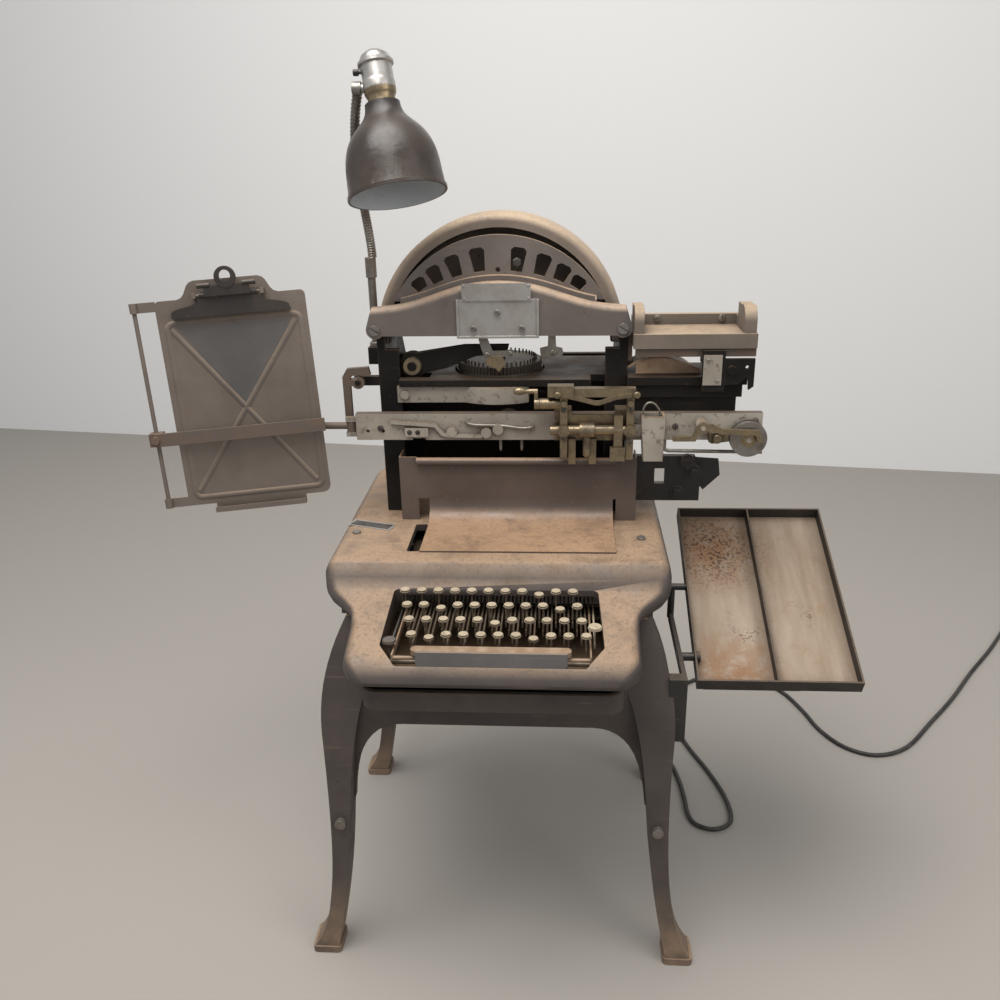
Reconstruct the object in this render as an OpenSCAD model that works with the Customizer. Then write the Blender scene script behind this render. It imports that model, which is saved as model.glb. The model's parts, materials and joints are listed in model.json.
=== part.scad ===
// Plate embossing machine: a cast stand with a keyboard nose, a die head over a sliding
// plate carriage, a hopper, a parts tray, a copyholder and a gooseneck lamp.
// Millimetres. Floor at z = 0, operator at -y, origin at the centre of the stance.

/* [Stand] */
// Half width of the stance across the feet
stance_hw = 324; // [300:1:350]
// Half depth of the stance across the feet
stance_hd = 265; // [250:1:285]
// Thickness of the foot pads
foot_t = 13; // [8:1:18]
// Depth of the aprons' arches below their top edge
apron_h = 82; // [60:1:95]
// Thickness of the apron castings
apron_t = 14; // [8:1:18]

/* [Base] */
// Height of the deck above the floor
deck_z = 690; // [670:1:720]
// Half width across the shoulders
deck_hw = 275; // [265:1:300]
// Back edge of the deck behind the origin
deck_back = 330; // [326:1:360]
// Depth of the shoulder wall below the deck
shoulder_h = 68; // [60:1:76]
// Half width of the keyboard nose
nose_hw = 220; // [215:1:228]
// Front of the nose ahead of the origin
nose_reach = 325; // [322:1:345]
// Depth of the nose below the deck
nose_h = 116; // [110:1:124]
// Drop from the deck to the front lip
lip_drop = 88; // [60:1:94]
// Wall of the nose casting at its sides
nose_wall = 18; // [14:1:20]
// Thickness of the deck
deck_t = 12; // [8:1:14]
// Depth of the keyboard pan
pan_h = 38; // [30:1:44]

/* [Keyboard] */
// Distance between neighbouring keys and rows
key_pitch = 26; // [24:0.5:27]
// Radius of a round key
key_r = 8; // [6:0.5:9]
// Radius of a large shift key
shift_r = 10.5; // [8:0.5:11]
// Rise from one row to the row behind it
row_rise = 11; // [8:0.5:12]
// Thickness of a key lever
lever_t = 2.5; // [1.5:0.1:3]
// Radius of the rod that the levers turn on
pivot_r = 3; // [2:0.25:4]
// Length of the space bar
space_l = 236; // [200:1:250]
// Room between the shift keys and the edge of the keyboard opening
key_margin = 3; // [2:0.25:6]

/* [Head] */
// Half width across the side frames
side_hw = 211; // [208:1:216]
// Thickness of the side frame webs
web_t = 14; // [10:1:16]
// Depth of the side frames from front to back
side_d = 204; // [200:1:210]
// Height of the rim guard's centre above the deck
head_h = 306; // [300:1:320]
// Outer radius of the rim guard
rim_r = 211; // [204:1:214]
// Radial thickness of the rim guard
rim_t = 23; // [18:1:26]
// Depth of the rim guard from front to back
rim_d = 86; // [60:1:92]
// Thickness of the head cover
cover_t = 14; // [10:1:16]
// Half distance between the cover's screws
cover_hw = 206; // [200:1:208]
// Height of the cover above its screws at the crown
crown_h = 78; // [70:1:84]

/* [Die drum] */
// Radius of the brass band of the drum
drum_r = 76; // [70:1:78]
// Number of teeth on the toothed discs
drum_teeth = 72; // [40:4:90]
// Radius of the spindle that the drum turns on
spindle_r = 10; // [8:1:14]
// Thickness of the die shelf
shelf_t = 12; // [8:1:14]

/* [Carriage] */
// Length of the carriage rail
rail_l = 679; // [672:1:690]
// Height of the carriage rail
rail_h = 46; // [44:1:50]
// Thickness of the carriage rail
rail_t = 15; // [12:1:18]
// Height of the rail's underside above the deck
rail_rise = 148; // [146:1:152]
// Radius of the spring drum on the rail's right end
spool_r = 30; // [24:1:32]
// Radius of the carriage tube
tube_r = 8; // [6:0.5:9]

/* [Hopper] */
// Length of the hopper bed
hopper_l = 198; // [190:1:204]
// Depth of the hopper bed from front to back
hopper_d = 95; // [88:1:110]
// Thickness of the hopper bed
bed_t = 24; // [18:1:26]
// Height of the hopper's end plates
hopper_h = 42; // [36:1:60]

/* [Lamp] */
// Radius of the shade at its rim
shade_r = 76; // [68:1:82]
// Length of the shade along its axis
shade_l = 160; // [140:1:165]
// Thickness of the shade
shade_t = 2; // [1.5:0.1:3]
// Radius of the lamp stem
stem_r = 7; // [5:0.5:8]
// Radius of the gooseneck over its ribs
neck_r = 8; // [6:0.25:9]
// Radius of the lamp socket
socket_r = 26; // [22:1:28]

/* [Copyholder] */
// Width of the copy board
board_w = 240; // [225:1:255]
// Height of the copy board
board_h = 342; // [325:1:360]
// Thickness of the pressed board
board_t = 2.5; // [1.5:0.1:3]
// Height of the line guide bar
guide_h = 22; // [16:1:28]
// Radius of the copyholder's side rod
side_rod_r = 3.5; // [2.5:0.25:4.5]

/* [Tray] */
// Width of the parts tray
tray_w = 258; // [240:1:280]
// Length of the parts tray
tray_l = 382; // [360:1:400]
// Height of the tray's walls
tray_h = 24; // [20:1:32]
// Thickness of the tray's sheet
tray_t = 3; // [2:0.25:4]
// Tilt of the tray towards the operator, in degrees
tray_tilt = 23.5; // [16:0.5:26]

/* [Drive] */
// Radius of the flywheel
wheel_r = 92; // [80:1:94]
// Radius of the main shaft
shaft_r = 12; // [8:0.5:14]
// Radius of the motor's body
motor_r = 48; // [40:1:50]
// Radius of the motor pulley where the belt runs
pulley_r = 26; // [20:1:30]

/* [Cord] */
// Diameter of the mains cord
cord_d = 9; // [7:0.5:9.5]
// Turns in each layer of the coil
coil_turns = 2; // [1:1:3]

/* [Hidden] */
$fn = 32;
// Clearances: running fits, bodies that pass each other, and pieces seated near their carrier
fit = 0.05;
gap = 0.3;

// Base
nose_front = -nose_reach;
open_front = nose_front + 16;
cavity_front = open_front + 1;
open_back = -162;
nose_z = deck_z - nose_h;
shoulder_z = deck_z - shoulder_h;
leg_top = shoulder_z - 3;
pan_z = nose_z - 12;
pan_floor = pan_z - pan_h + 5;
pan_hw = nose_hw - 24;
cove_y = -128;
apron_top = pan_z - pan_h - 4;
apron_z = apron_top - apron_h;

// Keyboard
key_cols = 11;
key_rows = 4;
row_back = -181;
key_top = deck_z - 25;
pivot_y = -62;
pivot_z = deck_z - 84;
lever_h = 10;
lever_step = key_pitch / key_rows;
space_x = (key_cols * key_rows / 2 + 0.5) * lever_step;
shift_x = space_x + lever_step;
open_hw = shift_x + shift_r + key_margin;
cheek_x = open_hw + 3;
cheek_t = 4;
space_y = nose_front + 41;

// Head
side_y = 80;
side_in = side_hw - web_t;
flange_w = 37;
flange_t = 14;
head_z = deck_z + head_h;
head_x = -4;
screw_z = head_z + 23;
cover_y = side_y - cover_t;
vent_y = side_y + 15;
vent_t = 8;
rim_y = vent_y + vent_t + 1;
rim_z = head_z - 7;
guard_t = 4;
guard_screws = [[0, 28], [-40, 2], [40, 2]];
ear_r = 15;

// Die drum
drum_x = -8;
drum_y = 152;
shelf_z = deck_z + 233;
drum_z = shelf_z - 25;
band_z = shelf_z + 2;
disc_z = band_z + 14;
disc_t = 12;

// Carriage rail and carriage
rail_x = -247;
rail_y = 35;
rail_z = deck_z + rail_rise;
rail_top = rail_z + rail_h;
rail_end = rail_x + rail_l;
spool_x = rail_end - 25;
spool_z = rail_z + 8;
hook_x = rail_end - 101;
hook_z = rail_z + 30;
slide_y = rail_y - 8.4;
tube_y = 7;
tube_z = rail_top - 20;
post_x = [rail_end - 333, rail_end - 225];
post_w = 12;
crank_z = rail_top + 24;
crank_y = 10;
arm_x = rail_x - 10;
arm_y = rail_y + rail_t;
arm_z = rail_z + 21;

// Front panel: its face and its apron from left to right
panel_t = 3;
panel_x = [-147, 195];
apron_x = [-128, 190];

// Hopper and shelf on the right side frame
hopper_x = side_hw + 7;
hopper_y = 45;
bed_z = head_z - 7;
runner_h = 14;
clamp_x = 330;
tray_shelf_z = deck_z + 249;

// Left side fittings
lug_x = -side_hw - 35;
lug_z = deck_z + 239;
ram_x = 43 - side_in;
ram_z = deck_z + 263;
ram_pin_r = 8;

// Lamp
stem_x = -max(side_hw, rim_r - head_x) - 13;
stem_y = 160;
stem_z = deck_z + 255;
coupling_z = deck_z + 283;
ferrule_z = deck_z + 403;
neck_start = [stem_x, stem_y, ferrule_z + 34];
knuckle = [-203, 62, deck_z + 698];
lamp_at = knuckle + [28, 0, -2];
lamp_lean = [-16.5, -9.8, 0];
shade_top = -22;
shade_neck = 27;
knuckle_pin_r = 4;
switch_at = lamp_at + [-25, 0, 24];
switch_pin_r = 2.5;

// Copyholder
board_at = [-424, 10, deck_z + 226];
board_yaw = 10;
board_back = -6;
board_roll = -2.8;
side_rod_x = -board_w / 2 - 33;
guide_z = -62;
clip_z = board_h / 2 + 4;
clip_y = -8;
clip_pin_r = 2.5;

// Tray and its bracket
tray_x = 318;
tray_pin = [tray_x, -130, deck_z - 169];
tray_pin_r = 4;
tray_front = -54;
bracket_x = 294 + splay(stance_hw - 324, 470);
bracket_y = -216 - splay(stance_hd - 265, 470);

// Drive
wheel_y = side_y + side_d + 4;
wheel_z = deck_z + wheel_r + 18;
wheel_w = 26;
belt_r = wheel_r - 8;
rim_flange = 9;
belt_w = wheel_w - 2 * rim_flange - 2 * gap;
belt_t = 5;
motor_z = deck_z - deck_t - motor_r - 14;

// Cord: route of the free stretch from the gland to the coil, chosen by hand
cord_r = cord_d / 2;
lay_z = cord_r + 0.2;
back_face = deck_back - 40 * (1 - cos(18));
gland_at = [150, back_face, deck_z - 42];
coil_r = 5.5 * cord_d;
coil_pitch = 1.25 * cord_d;
coil_rise = 1.15 * cord_d;
coil_at = [1440, 925];
coil_start = 127;
coil_out = coil_r + coil_pitch * coil_turns / 2;
ROUTE = [
  gland_at + [0, 40, 0], gland_at + [0, 64, 0], [150.5, 414.5, 642.5], [151.5, 433.5, 623],
  [153.5, 442, 595], [158, 450, 520], [166, 452, 380], [176, 446, 220], [188, 436, 100], [208, 414, 30],
  [244, 380, 5], [296, 340, 5], [342, 284, 5], [358, 212, 5], [362.5, 155, 5], [364.5, 107, 5],
  [376.4, 77.2, 5], [408, 63.5, 5], [439, 76.3, 5], [452, 107, 5], [447, 170, 5], [424, 250, 5],
  [392, 335, 5], [368, 425, 5], [372, 520, 5], [420, 600, 5], [504, 640, 5], [590, 630, 5], [650, 572, 5],
  [684, 490, 5], [706, 410, 5], [746, 346, 5], [808, 319, 5], [884, 350, 5], [972, 449, 5], [1060, 552, 5],
  [1151, 672, 5], [1236, 776, 5], [1296, 856, 5], [1327, 900, 5]
];

// Colours of the finishes
paint = "#6f665e";
dark = "#3a3633";
dust = "#a08a6c";
cream = "#b5ab96";
steel = "#9a978f";
brass = "#9c8450";
rust = "#7a5138";
black = "#1d1c1b";

// Curve helpers
function mix(a, b, t) = a + (b - a) * t;
function smooth(t) = t <= 0 ? 0 : t >= 1 ? 1 : t * t * (3 - 2 * t);
function unit(v) = v / norm(v);
function arc(c, r, a0, a1, n = 12) =
  [for (i = [0:n]) let (a = mix(a0, a1, i / n)) c + r * [cos(a), sin(a)]];
function bez(a, b, c, d, n = 10) =
  [for (i = [0:n]) let (t = i / n, s = 1 - t)
    s * s * s * a + 3 * s * s * t * b + 3 * s * t * t * c + t * t * t * d];
// How much a rounded edge of radius r has drawn in at a distance t from its end
function drawn_in(t, r) = t >= r ? 0 : r - sqrt(max(0, r * r - (r - t) * (r - t)));

// Smooth route through points, each stretch cut into steps, kept above the floor
function catmull(p, i, t) =
  let (
    n = len(p) - 1,
    a = p[max(i - 1, 0)],
    b = p[i],
    c = p[min(i + 1, n)],
    d = p[min(i + 2, n)]
  )
  0.5 * (2 * b + (c - a) * t + (2 * a - 5 * b + 4 * c - d) * t * t + (3 * b - a - 3 * c + d) * t * t * t);
function lifted(p, z) = [p.x, p.y, max(p.z, z)];
function route(p, steps) =
  [for (i = [0:len(p) - 2]) for (k = [0:steps - 1]) catmull(p, i, k / steps), p[len(p) - 1]];

// Rings of a tube that follow a route without twisting
function headings(p) =
  let (n = len(p) - 1) [for (i = [0:n]) unit(p[min(i + 1, n)] - p[max(i - 1, 0)])];
function carried(d, u, i = 0) =
  i == len(d) ? [] : let (v = unit(u - (u * d[i]) * d[i])) concat([v], carried(d, v, i + 1));
function tube_ring(c, d, u, r, sides) =
  let (w = cross(d, u)) [for (k = [0:sides - 1]) let (a = 360 * k / sides) c + r * (cos(a) * u + sin(a) * w)];
function square_to(d) = unit(cross(d, abs(d.z) < 0.8 ? [0, 0, 1] : [1, 0, 0]));

// Skin over a list of rings with the same number of points, closed at both ends
module skin(rings) {
  n = len(rings[0]);
  m = len(rings);
  polyhedron(
    points = [for (r = rings) each r],
    faces = concat(
      [for (i = [1:n - 2]) [0, i, i + 1]],
      [for (i = [1:n - 2]) [(m - 1) * n, (m - 1) * n + i + 1, (m - 1) * n + i]],
      [for (j = [0:m - 2]) for (i = [0:n - 1]) [j * n + i, (j + 1) * n + i, j * n + (i + 1) % n]],
      [for (j = [0:m - 2]) for (i = [0:n - 1])
        [j * n + (i + 1) % n, (j + 1) * n + i, (j + 1) * n + (i + 1) % n]]
    )
  );
}
module tube(p, r, sides) {
  d = headings(p);
  u = carried(d, square_to(d[0]));
  skin([for (i = [0:len(p) - 1]) tube_ring(p[i], d[i], u[i], r, sides)]);
}

// Solid helpers: a block between corners, rods along an axis, plates from an outline
module span(a, b) translate(a) cube(b - a);
module rod_x(x0, x1, y, z, r) translate([x0, y, z]) rotate([0, 90, 0]) cylinder(h = x1 - x0, r = r);
module rod_y(x, y0, y1, z, r) translate([x, y0, z]) rotate([-90, 0, 0]) cylinder(h = y1 - y0, r = r);
module rod_z(x, y, z0, z1, r) translate([x, y, z0]) cylinder(h = z1 - z0, r = r);
module plate_xz(y0, y1) translate([0, y1, 0]) rotate([90, 0, 0]) linear_extrude(y1 - y0) children();
module plate_yz(x0, x1) translate([x0, 0, 0]) rotate([90, 0, 90]) linear_extrude(x1 - x0) children();
module plate_xy(z0, z1) translate([0, 0, z0]) linear_extrude(z1 - z0) children();
module both_sides() for (s = [0, 1]) mirror([s, 0, 0]) children();
// Points beside a bent line at a distance to its left, mitred at the bends
function beside(p, h) =
  let (n = len(p) - 1)
  [for (i = [0:n])
    let (
      a = unit(p[max(i, 1)] - p[max(i, 1) - 1]),
      b = unit(p[min(i, n - 1) + 1] - p[min(i, n - 1)])
    )
    p[i] + h * [-a.y - b.y, a.x + b.x] / (1 + a * b)];
// A flat bar of one width along a bent line in an outline
module bar_path(p, w) {
  right = beside(p, -w / 2);
  polygon(concat(beside(p, w / 2), [for (i = [len(p) - 1:-1:0]) right[i]]));
}
// A slotted screw head that faces the operator
module slotted_head(x, y, z, r, h) difference() {
  rod_y(x, y - h, y, z, r);
  translate([x, y - h, z]) rotate([0, 30, 0]) cube([2.2 * r, h, 0.3 * r], center = true);
}

// Base housing: width, top and underside of the casting along its depth
function base_hw(y) =
  mix(nose_hw, deck_hw, smooth((y + 215) / 75)) - drawn_in(y - nose_front, 44) - drawn_in(deck_back - y, 40);
function arm_top(y) =
  mix(deck_z - lip_drop, deck_z - 24, (y - nose_front) / (cove_y - nose_front))
  - drawn_in(y - nose_front, 26);
function base_top(y) = mix(arm_top(y), deck_z, smooth((y - cove_y + 34) / 30)) - drawn_in(deck_back - y, 16);
function base_low(y) = mix(nose_z, shoulder_z, smooth((y + 245) / 36)) + drawn_in(y - nose_front, 12);
function base_section(y, hw, top, low, rt, rb) =
  [for (p = concat(
    arc([hw - rb, low + rb], rb, 360, 270, 5),
    arc([-hw + rb, low + rb], rb, 270, 180, 5),
    arc([-hw + rt, top - rt], rt, 180, 90, 5),
    arc([hw - rt, top - rt], rt, 90, 0, 5)
  )) [p.x, y, p.y]];
function base_ring(y) =
  let (low = base_low(y), top = base_top(y), edge = min(18, (top - low) * 0.42))
  base_section(
    y, base_hw(y), top, low, edge, mix(min(12, edge), min(28, edge * 1.5), smooth((y + 215) / 60))
  );
function cavity_ring(y) =
  base_section(
    y, base_hw(y) - mix(nose_wall, 40, smooth((y + 215) / 60)), base_top(y) - deck_t, nose_z - 60, 6, 1
  );
base_stations = concat(
  [for (a = [14:15.2:90]) nose_front + 44 * (1 - cos(a))],
  [for (y = [-270:12:-90]) y],
  [-40, 60, 200],
  [for (a = [90:-18:10]) deck_back - 40 * (1 - cos(a))]
);
cavity_stations = concat(
  [cavity_front, cavity_front + 6, cavity_front + 14, cavity_front + 26],
  [for (y = [-260:15:-90]) y],
  [60, deck_back - 14]
);
module round_slot(x0, x1, y0, y1, z0, z1, r) hull() {
  for (x = [x0 + r, x1 - r], y = [y0 + r, y1 - r]) rod_z(x, y, z0, z1, r);
}
module base_housing() color(paint) union() {
  difference() {
    skin([for (y = base_stations) base_ring(y)]);
    skin([for (y = cavity_stations) cavity_ring(y)]);
    // keyboard opening with cut front corners
    hull() for (s = [-1, 1]) {
      rod_z(s * (open_hw - 14), open_back - 8, nose_z - 5, deck_z + 5, 8);
      rod_z(s * (open_hw - 8), open_front + 38, nose_z - 5, deck_z + 5, 8);
      rod_z(s * (open_hw - 30), open_front + 8, nose_z - 5, deck_z + 5, 8);
    }
    // slot beside the front panel, key link slot under it and belt slot at the back
    round_slot(-150, apron_x[0] - 1, -96, 16, shoulder_z, deck_z + 5, 4);
    round_slot(-110, 150, 48, 72, shoulder_z, deck_z + 5, 8);
    round_slot(-belt_r - 14, belt_r + 14, wheel_y + 4, wheel_y + wheel_w - 2, shoulder_z, deck_z + 5, 6);
  }
  // pads that the legs bolt to
  both_sides() for (y = [-178, 120]) hull() {
    span([174, y, leg_top], [244, y + 60, leg_top + 1]);
    span([178, y + 4, shoulder_z + 20], [244, y + 56, shoulder_z + 24]);
  }
}

module keyboard_pan() color(paint) {
  difference() {
    hull() {
      for (s = [-1, 1]) rod_z(s * (pan_hw - 26), nose_front + 48, pan_z - pan_h, pan_z, 26);
      for (s = [-1, 1]) rod_z(s * (pan_hw - 6), -36, pan_z - pan_h, pan_z, 6);
    }
    hull() {
      for (s = [-1, 1]) rod_z(s * (pan_hw - 28), nose_front + 50, pan_floor, pan_z + 1, 22);
      for (s = [-1, 1]) rod_z(s * (pan_hw - 10), -40, pan_floor, pan_z + 1, 4);
    }
  }
  // lugs that hang the pan from the nose rim
  both_sides() for (y = [-278, -262]) span([pan_hw - 3, y, pan_z - 10], [nose_hw - 14, y + 12, nose_z]);
}

// Legs: a front outline and a side outline, both swept, and their common shape.
// A wider stance splays them from their tops.
function splay(extra, z) = extra * (1 - z / leg_top);
leg_face = [for (p = concat(
  bez([236, leg_top], [268, leg_top - 60], [284, leg_top - 120], [281, 430]),
  bez([281, 430], [274, 320], [274, 190], [291, 95]),
  bez([291, 95], [297, 60], [304, 34], [322, foot_t]),
  [[322, 0], [280, 0]],
  bez([280, foot_t], [262, 100], [250, 180], [244, 268]),
  bez([244, 268], [238, 350], [228, 450], [208, leg_top - 120]),
  bez([208, leg_top - 120], [202, leg_top - 99], [pan_hw + 3, leg_top - 69], [pan_hw + 3, leg_top])
)) [p.x + splay(stance_hw - 324, p.y), p.y]];
leg_side = [for (p = concat(
  bez([186, leg_top], [204, leg_top - 80], [246, 420], [250, 240]),
  bez([250, 240], [252, 150], [256, 60], [265, foot_t]),
  [[265, 0], [218, 0]],
  bez([218, foot_t], [212, 120], [206, 240], [200, 300]),
  bez([200, 300], [190, 420], [130, leg_top - 100], [120, leg_top])
)) [p.x + splay(stance_hd - 265, p.y), p.y]];
module leg() {
  intersection() {
    plate_xz(0, stance_hd + 40) polygon(leg_face);
    plate_yz(0, stance_hw + 40) polygon(leg_side);
  }
  plate_xy(0, foot_t) translate([stance_hw - 48, stance_hd - 51]) {
    translate([0, 8]) square([50, 38]);
    translate([8, 0]) square([34, 54]);
    for (x = [8, 42], y = [8, 46]) translate([x, y]) circle(8);
  }
}
module front_legs() color(paint) both_sides() mirror([0, 1, 0]) leg();
module rear_legs() color(paint) both_sides() leg();

// Aprons: arched plates between the legs, trimmed where they meet them
apron_y = 214 + splay(stance_hd - 265, 400);
side_apron_x = 226 + splay(stance_hw - 324, 450);
module apron_arch(half, top, reach) polygon(concat(
  [[50 - half, top], [-half, reach]],
  bez([-half + 22, reach], [-half + 30, apron_z - 40], [-half + 60, apron_z], [-half + 110, apron_z]),
  bez([half - 110, apron_z], [half - 60, apron_z], [half - 30, apron_z - 40], [half - 22, reach]),
  [[half, reach], [half - 50, top]]
));
module front_apron() color(paint) difference() {
  plate_xz(-apron_y, apron_t - apron_y) apron_arch(262 + splay(stance_hw - 324, 400), apron_top, apron_z - 148);
  front_legs();
}
module rear_side_aprons() color(paint) difference() {
  union() {
    plate_xz(apron_y - apron_t, apron_y) apron_arch(262 + splay(stance_hw - 324, 400), apron_top, apron_z - 148);
    both_sides() plate_yz(side_apron_x, side_apron_x + apron_t)
      apron_arch(199 + splay(stance_hd - 265, 450), apron_top, apron_z - 58);
  }
  front_legs();
  rear_legs();
}
module screws_and_bolts() color(steel) {
  // leg bolts, front and rear
  difference() {
    both_sides() for (s = [0, 1]) mirror([0, s, 0])
      translate([splay(stance_hw - 324, 268), splay(stance_hd - 265, 268), 0]) rod_y(259, 241, 258, 268, 9);
    front_legs();
    rear_legs();
  }
  // cover screws, guard plate screws and deck screws
  for (s = [-1, 1]) slotted_head(head_x + s * cover_hw, cover_y, screw_z, 9, 4);
  for (p = guard_screws) slotted_head(head_x + p.x, cover_y - guard_t, screw_z + p.y, 5, 3);
  for (p = [[-247, -23], [234, -40]]) rod_z(p.x, p.y, deck_z, deck_z + 4, 7);
}

// Side frames: a web with a front flange; the rim guard stands on the lower rear part
module side_frame() {
  plate_yz(side_in, side_hw) polygon([
    [side_y, deck_z], [side_y + side_d, deck_z], [side_y + side_d, head_z - 60],
    [side_y + side_d - 40, rim_z], [rim_y - 1, rim_z], [rim_y - 1, screw_z + 18], [side_y, screw_z + 18]
  ]);
  span([side_hw - flange_w, side_y, deck_z], [side_hw, side_y + flange_t, head_z - 12]);
}
module side_frame_left() color(dark) mirror([1, 0, 0]) side_frame();
module side_frame_right() color(dark) side_frame();
module back_plate() color(dark) difference() {
  union() {
    plate_xz(side_y + side_d - 16, side_y + side_d - 4) polygon([
      [-side_in, deck_z], [side_in, deck_z], [side_in, head_z - 62], [70, head_z - 62], [40, head_z - 100],
      [-side_in, head_z - 100]
    ]);
    rod_y(0, side_y + side_d - 52, side_y + side_d - 10, wheel_z, shaft_r + 14);
  }
  rod_y(0, side_y + side_d - 60, side_y + side_d, wheel_z, shaft_r + fit);
}

// Head cover: a bar with ears at the screws and a bell shaped crown with a ledge behind it
cover_left = concat(
  [[-cover_hw, screw_z - 10], [-cover_hw - 14, screw_z + 6], [-cover_hw - 4, screw_z + 37]],
  bez(
    [-cover_hw - 2, screw_z + 38], [-cover_hw + 86, screw_z + 38], [-cover_hw + 116, screw_z + crown_h],
    [0, screw_z + crown_h], 14
  )
);
cover_line = concat(cover_left, [for (i = [len(cover_left) - 2:-1:0]) [-cover_left[i].x, cover_left[i].y]]);
module head_cover() color(paint) translate([head_x, 0, 0]) {
  plate_xz(cover_y, side_y) {
    polygon(cover_line);
    for (s = [-1, 1]) translate([s * cover_hw, screw_z]) circle(ear_r);
  }
  plate_xz(side_y - 1, vent_y) intersection() {
    translate([0, 8]) polygon(cover_line);
    translate([-162, screw_z + 6]) square([324, crown_h + 10]);
  }
}
vent_r = rim_r - 11;
vent_c = head_z - 28;
module vent_slot(h) {
  foot = 11 - h * 0.05;
  polygon([
    [-foot, -h / 2], [foot, -h / 2], [13, h / 2 - 5], [8, h / 2], [-8, h / 2], [-13, h / 2 - 5]
  ]);
}
module vent_plate() color(paint) plate_xz(vent_y, vent_y + vent_t) translate([head_x, vent_c]) difference() {
  polygon(arc([0, 0], vent_r, 28, 152, 30));
  for (s = [-1, 1], k = [[8, 39], [18, 35], [26.5, 28], [34, 20]])
    translate([0, -74]) rotate(-s * k[0]) translate([0, 236]) vent_slot(k[1]);
  translate([0, 144]) circle(4);
}
module rim_guard() color(dust) translate([head_x, rim_y, rim_z]) rotate([-90, 0, 0]) rotate([0, 0, 180]) {
  rotate_extrude(angle = 180) {
    translate([rim_r - rim_t, 0]) square([rim_t - 12, rim_d]);
    translate([rim_r - 12, 12]) square([12, rim_d - 24]);
    for (z = [12, rim_d - 12]) translate([rim_r - 12, z]) circle(12);
  }
  // back of the guard
  plate_xy(rim_d - 18, rim_d - 14) polygon(arc([0, 0], rim_r - rim_t + 2, 0, 180, 32));
}
module guard_plate() color(steel) {
  w = 68;
  low = screw_z - 14;
  high = low + 64;
  translate([head_x, cover_y, 0]) {
    span([-w, 2 - guard_t, low], [w, 0, high]);
    span([-w, -guard_t, low], [4 - w, 0, high]);
    span([w - 4, -guard_t, low], [w, 0, high]);
    span([-w, -guard_t, low], [w, 0, low + 4]);
    for (p = guard_screws) rod_y(p.x, -guard_t, -1, screw_z + p.y, 5);
  }
}

// Die shelf: a plate with a round window for the drum, and a bar that holds the spindle
module die_shelf() color(dark) {
  difference() {
    union() {
      span([23 - side_in, side_y - 18, shelf_z], [side_in - 47, side_y + 20, shelf_z + shelf_t]);
      span([-side_in, side_y + 18, shelf_z], [side_in, side_y + 162, shelf_z + shelf_t]);
    }
    rod_z(drum_x, drum_y, shelf_z - 1, shelf_z + shelf_t + 1, drum_r + 3);
    // notch under the boss of the ram lever
    span([ram_x - 26, side_y + 4, shelf_z - 1], [ram_x + 30, side_y + 34, shelf_z + shelf_t + 1]);
  }
  span([-side_in, drum_y - 12, drum_z - 16], [side_in, drum_y + 12, drum_z - 8]);
  rod_z(drum_x, drum_y, drum_z - 12, drum_z - gap, spindle_r + 8);
  rod_z(drum_x, drum_y, drum_z - 12, disc_z + disc_t + 6, spindle_r);
}
module index_bar() color(cream) {
  difference() {
    union() {
      span([-side_in + 18, side_y - 12, shelf_z - 29], [46, side_y, shelf_z - gap]);
      rod_z(drum_x, drum_y, shelf_z - 29, shelf_z - gap, drum_r + 24);
    }
    rod_z(drum_x, drum_y, shelf_z - 30, shelf_z, drum_r + 12);
    span([-300, side_y, shelf_z - 40], [300, side_y + 300, shelf_z + 1]);
    span([46, side_y - 60, shelf_z - 40], [300, side_y + 60, shelf_z + 1]);
  }
  rod_y(31 - side_in, side_y - 16, side_y - 12, shelf_z - 15, 8);
}
module toothed_disc(z, r, h) plate_xy(z, z + h) translate([drum_x, drum_y]) polygon([
  for (i = [0:drum_teeth - 1]) for (k = [[-0.5, -3], [-0.2, -3], [-0.15, 0], [0.15, 0], [0.2, -3]])
    let (a = 360 * (i + k[0]) / drum_teeth) (r + k[1]) * [cos(a), sin(a)]
]);
module die_drum() color(brass) difference() {
  union() {
    toothed_disc(disc_z, drum_r - 2, disc_t);
    rod_z(drum_x, drum_y, band_z, disc_z, drum_r);
    rod_z(drum_x, drum_y, drum_z + 12, band_z, drum_r - 16);
    rod_z(drum_x, drum_y, drum_z, drum_z + 12, drum_r - 2);
  }
  rod_z(drum_x, drum_y, drum_z - 1, disc_z + disc_t + 1, spindle_r + fit);
}

// Fittings on the left side frame: ram bracket with its pin, lamp coupling, hook lever lug
module column_fittings() color(dark) {
  span([-side_in, side_y + 34, ram_z - 16], [ram_x + 12, side_y + 50, ram_z + 16]);
  rod_y(ram_x, side_y + 4, side_y + 40, ram_z, ram_pin_r);
  difference() {
    span([stem_x - 13, stem_y - 13, coupling_z - 30], [-side_hw, stem_y + 13, coupling_z]);
    rod_z(stem_x, stem_y, coupling_z - 40, coupling_z + 5, stem_r + fit);
  }
  span([lug_x - 9, side_y + 2, lug_z - 8], [-side_hw, side_y + 14, lug_z + 8]);
  rod_y(lug_x, side_y - 13, side_y + 6, lug_z, 5);
}
module ram_lever() color(dark) difference() {
  union() {
    rod_y(ram_x, side_y + flange_t + gap, side_y + 30, ram_z, 23);
    rod_y(ram_x, side_y + 5, side_y + flange_t + 2, ram_z, 15);
    plate_xz(side_y + 12, side_y + 28) polygon([
      [ram_x, ram_z - 18], [ram_x + 60, ram_z - 4], [ram_x + 110, ram_z + 16], [ram_x + 162, ram_z + 18],
      [ram_x + 166, ram_z + 34], [ram_x + 90, ram_z + 34], [ram_x, ram_z + 20]
    ]);
  }
  rod_y(ram_x, side_y, side_y + 40, ram_z, ram_pin_r + fit);
}
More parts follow.
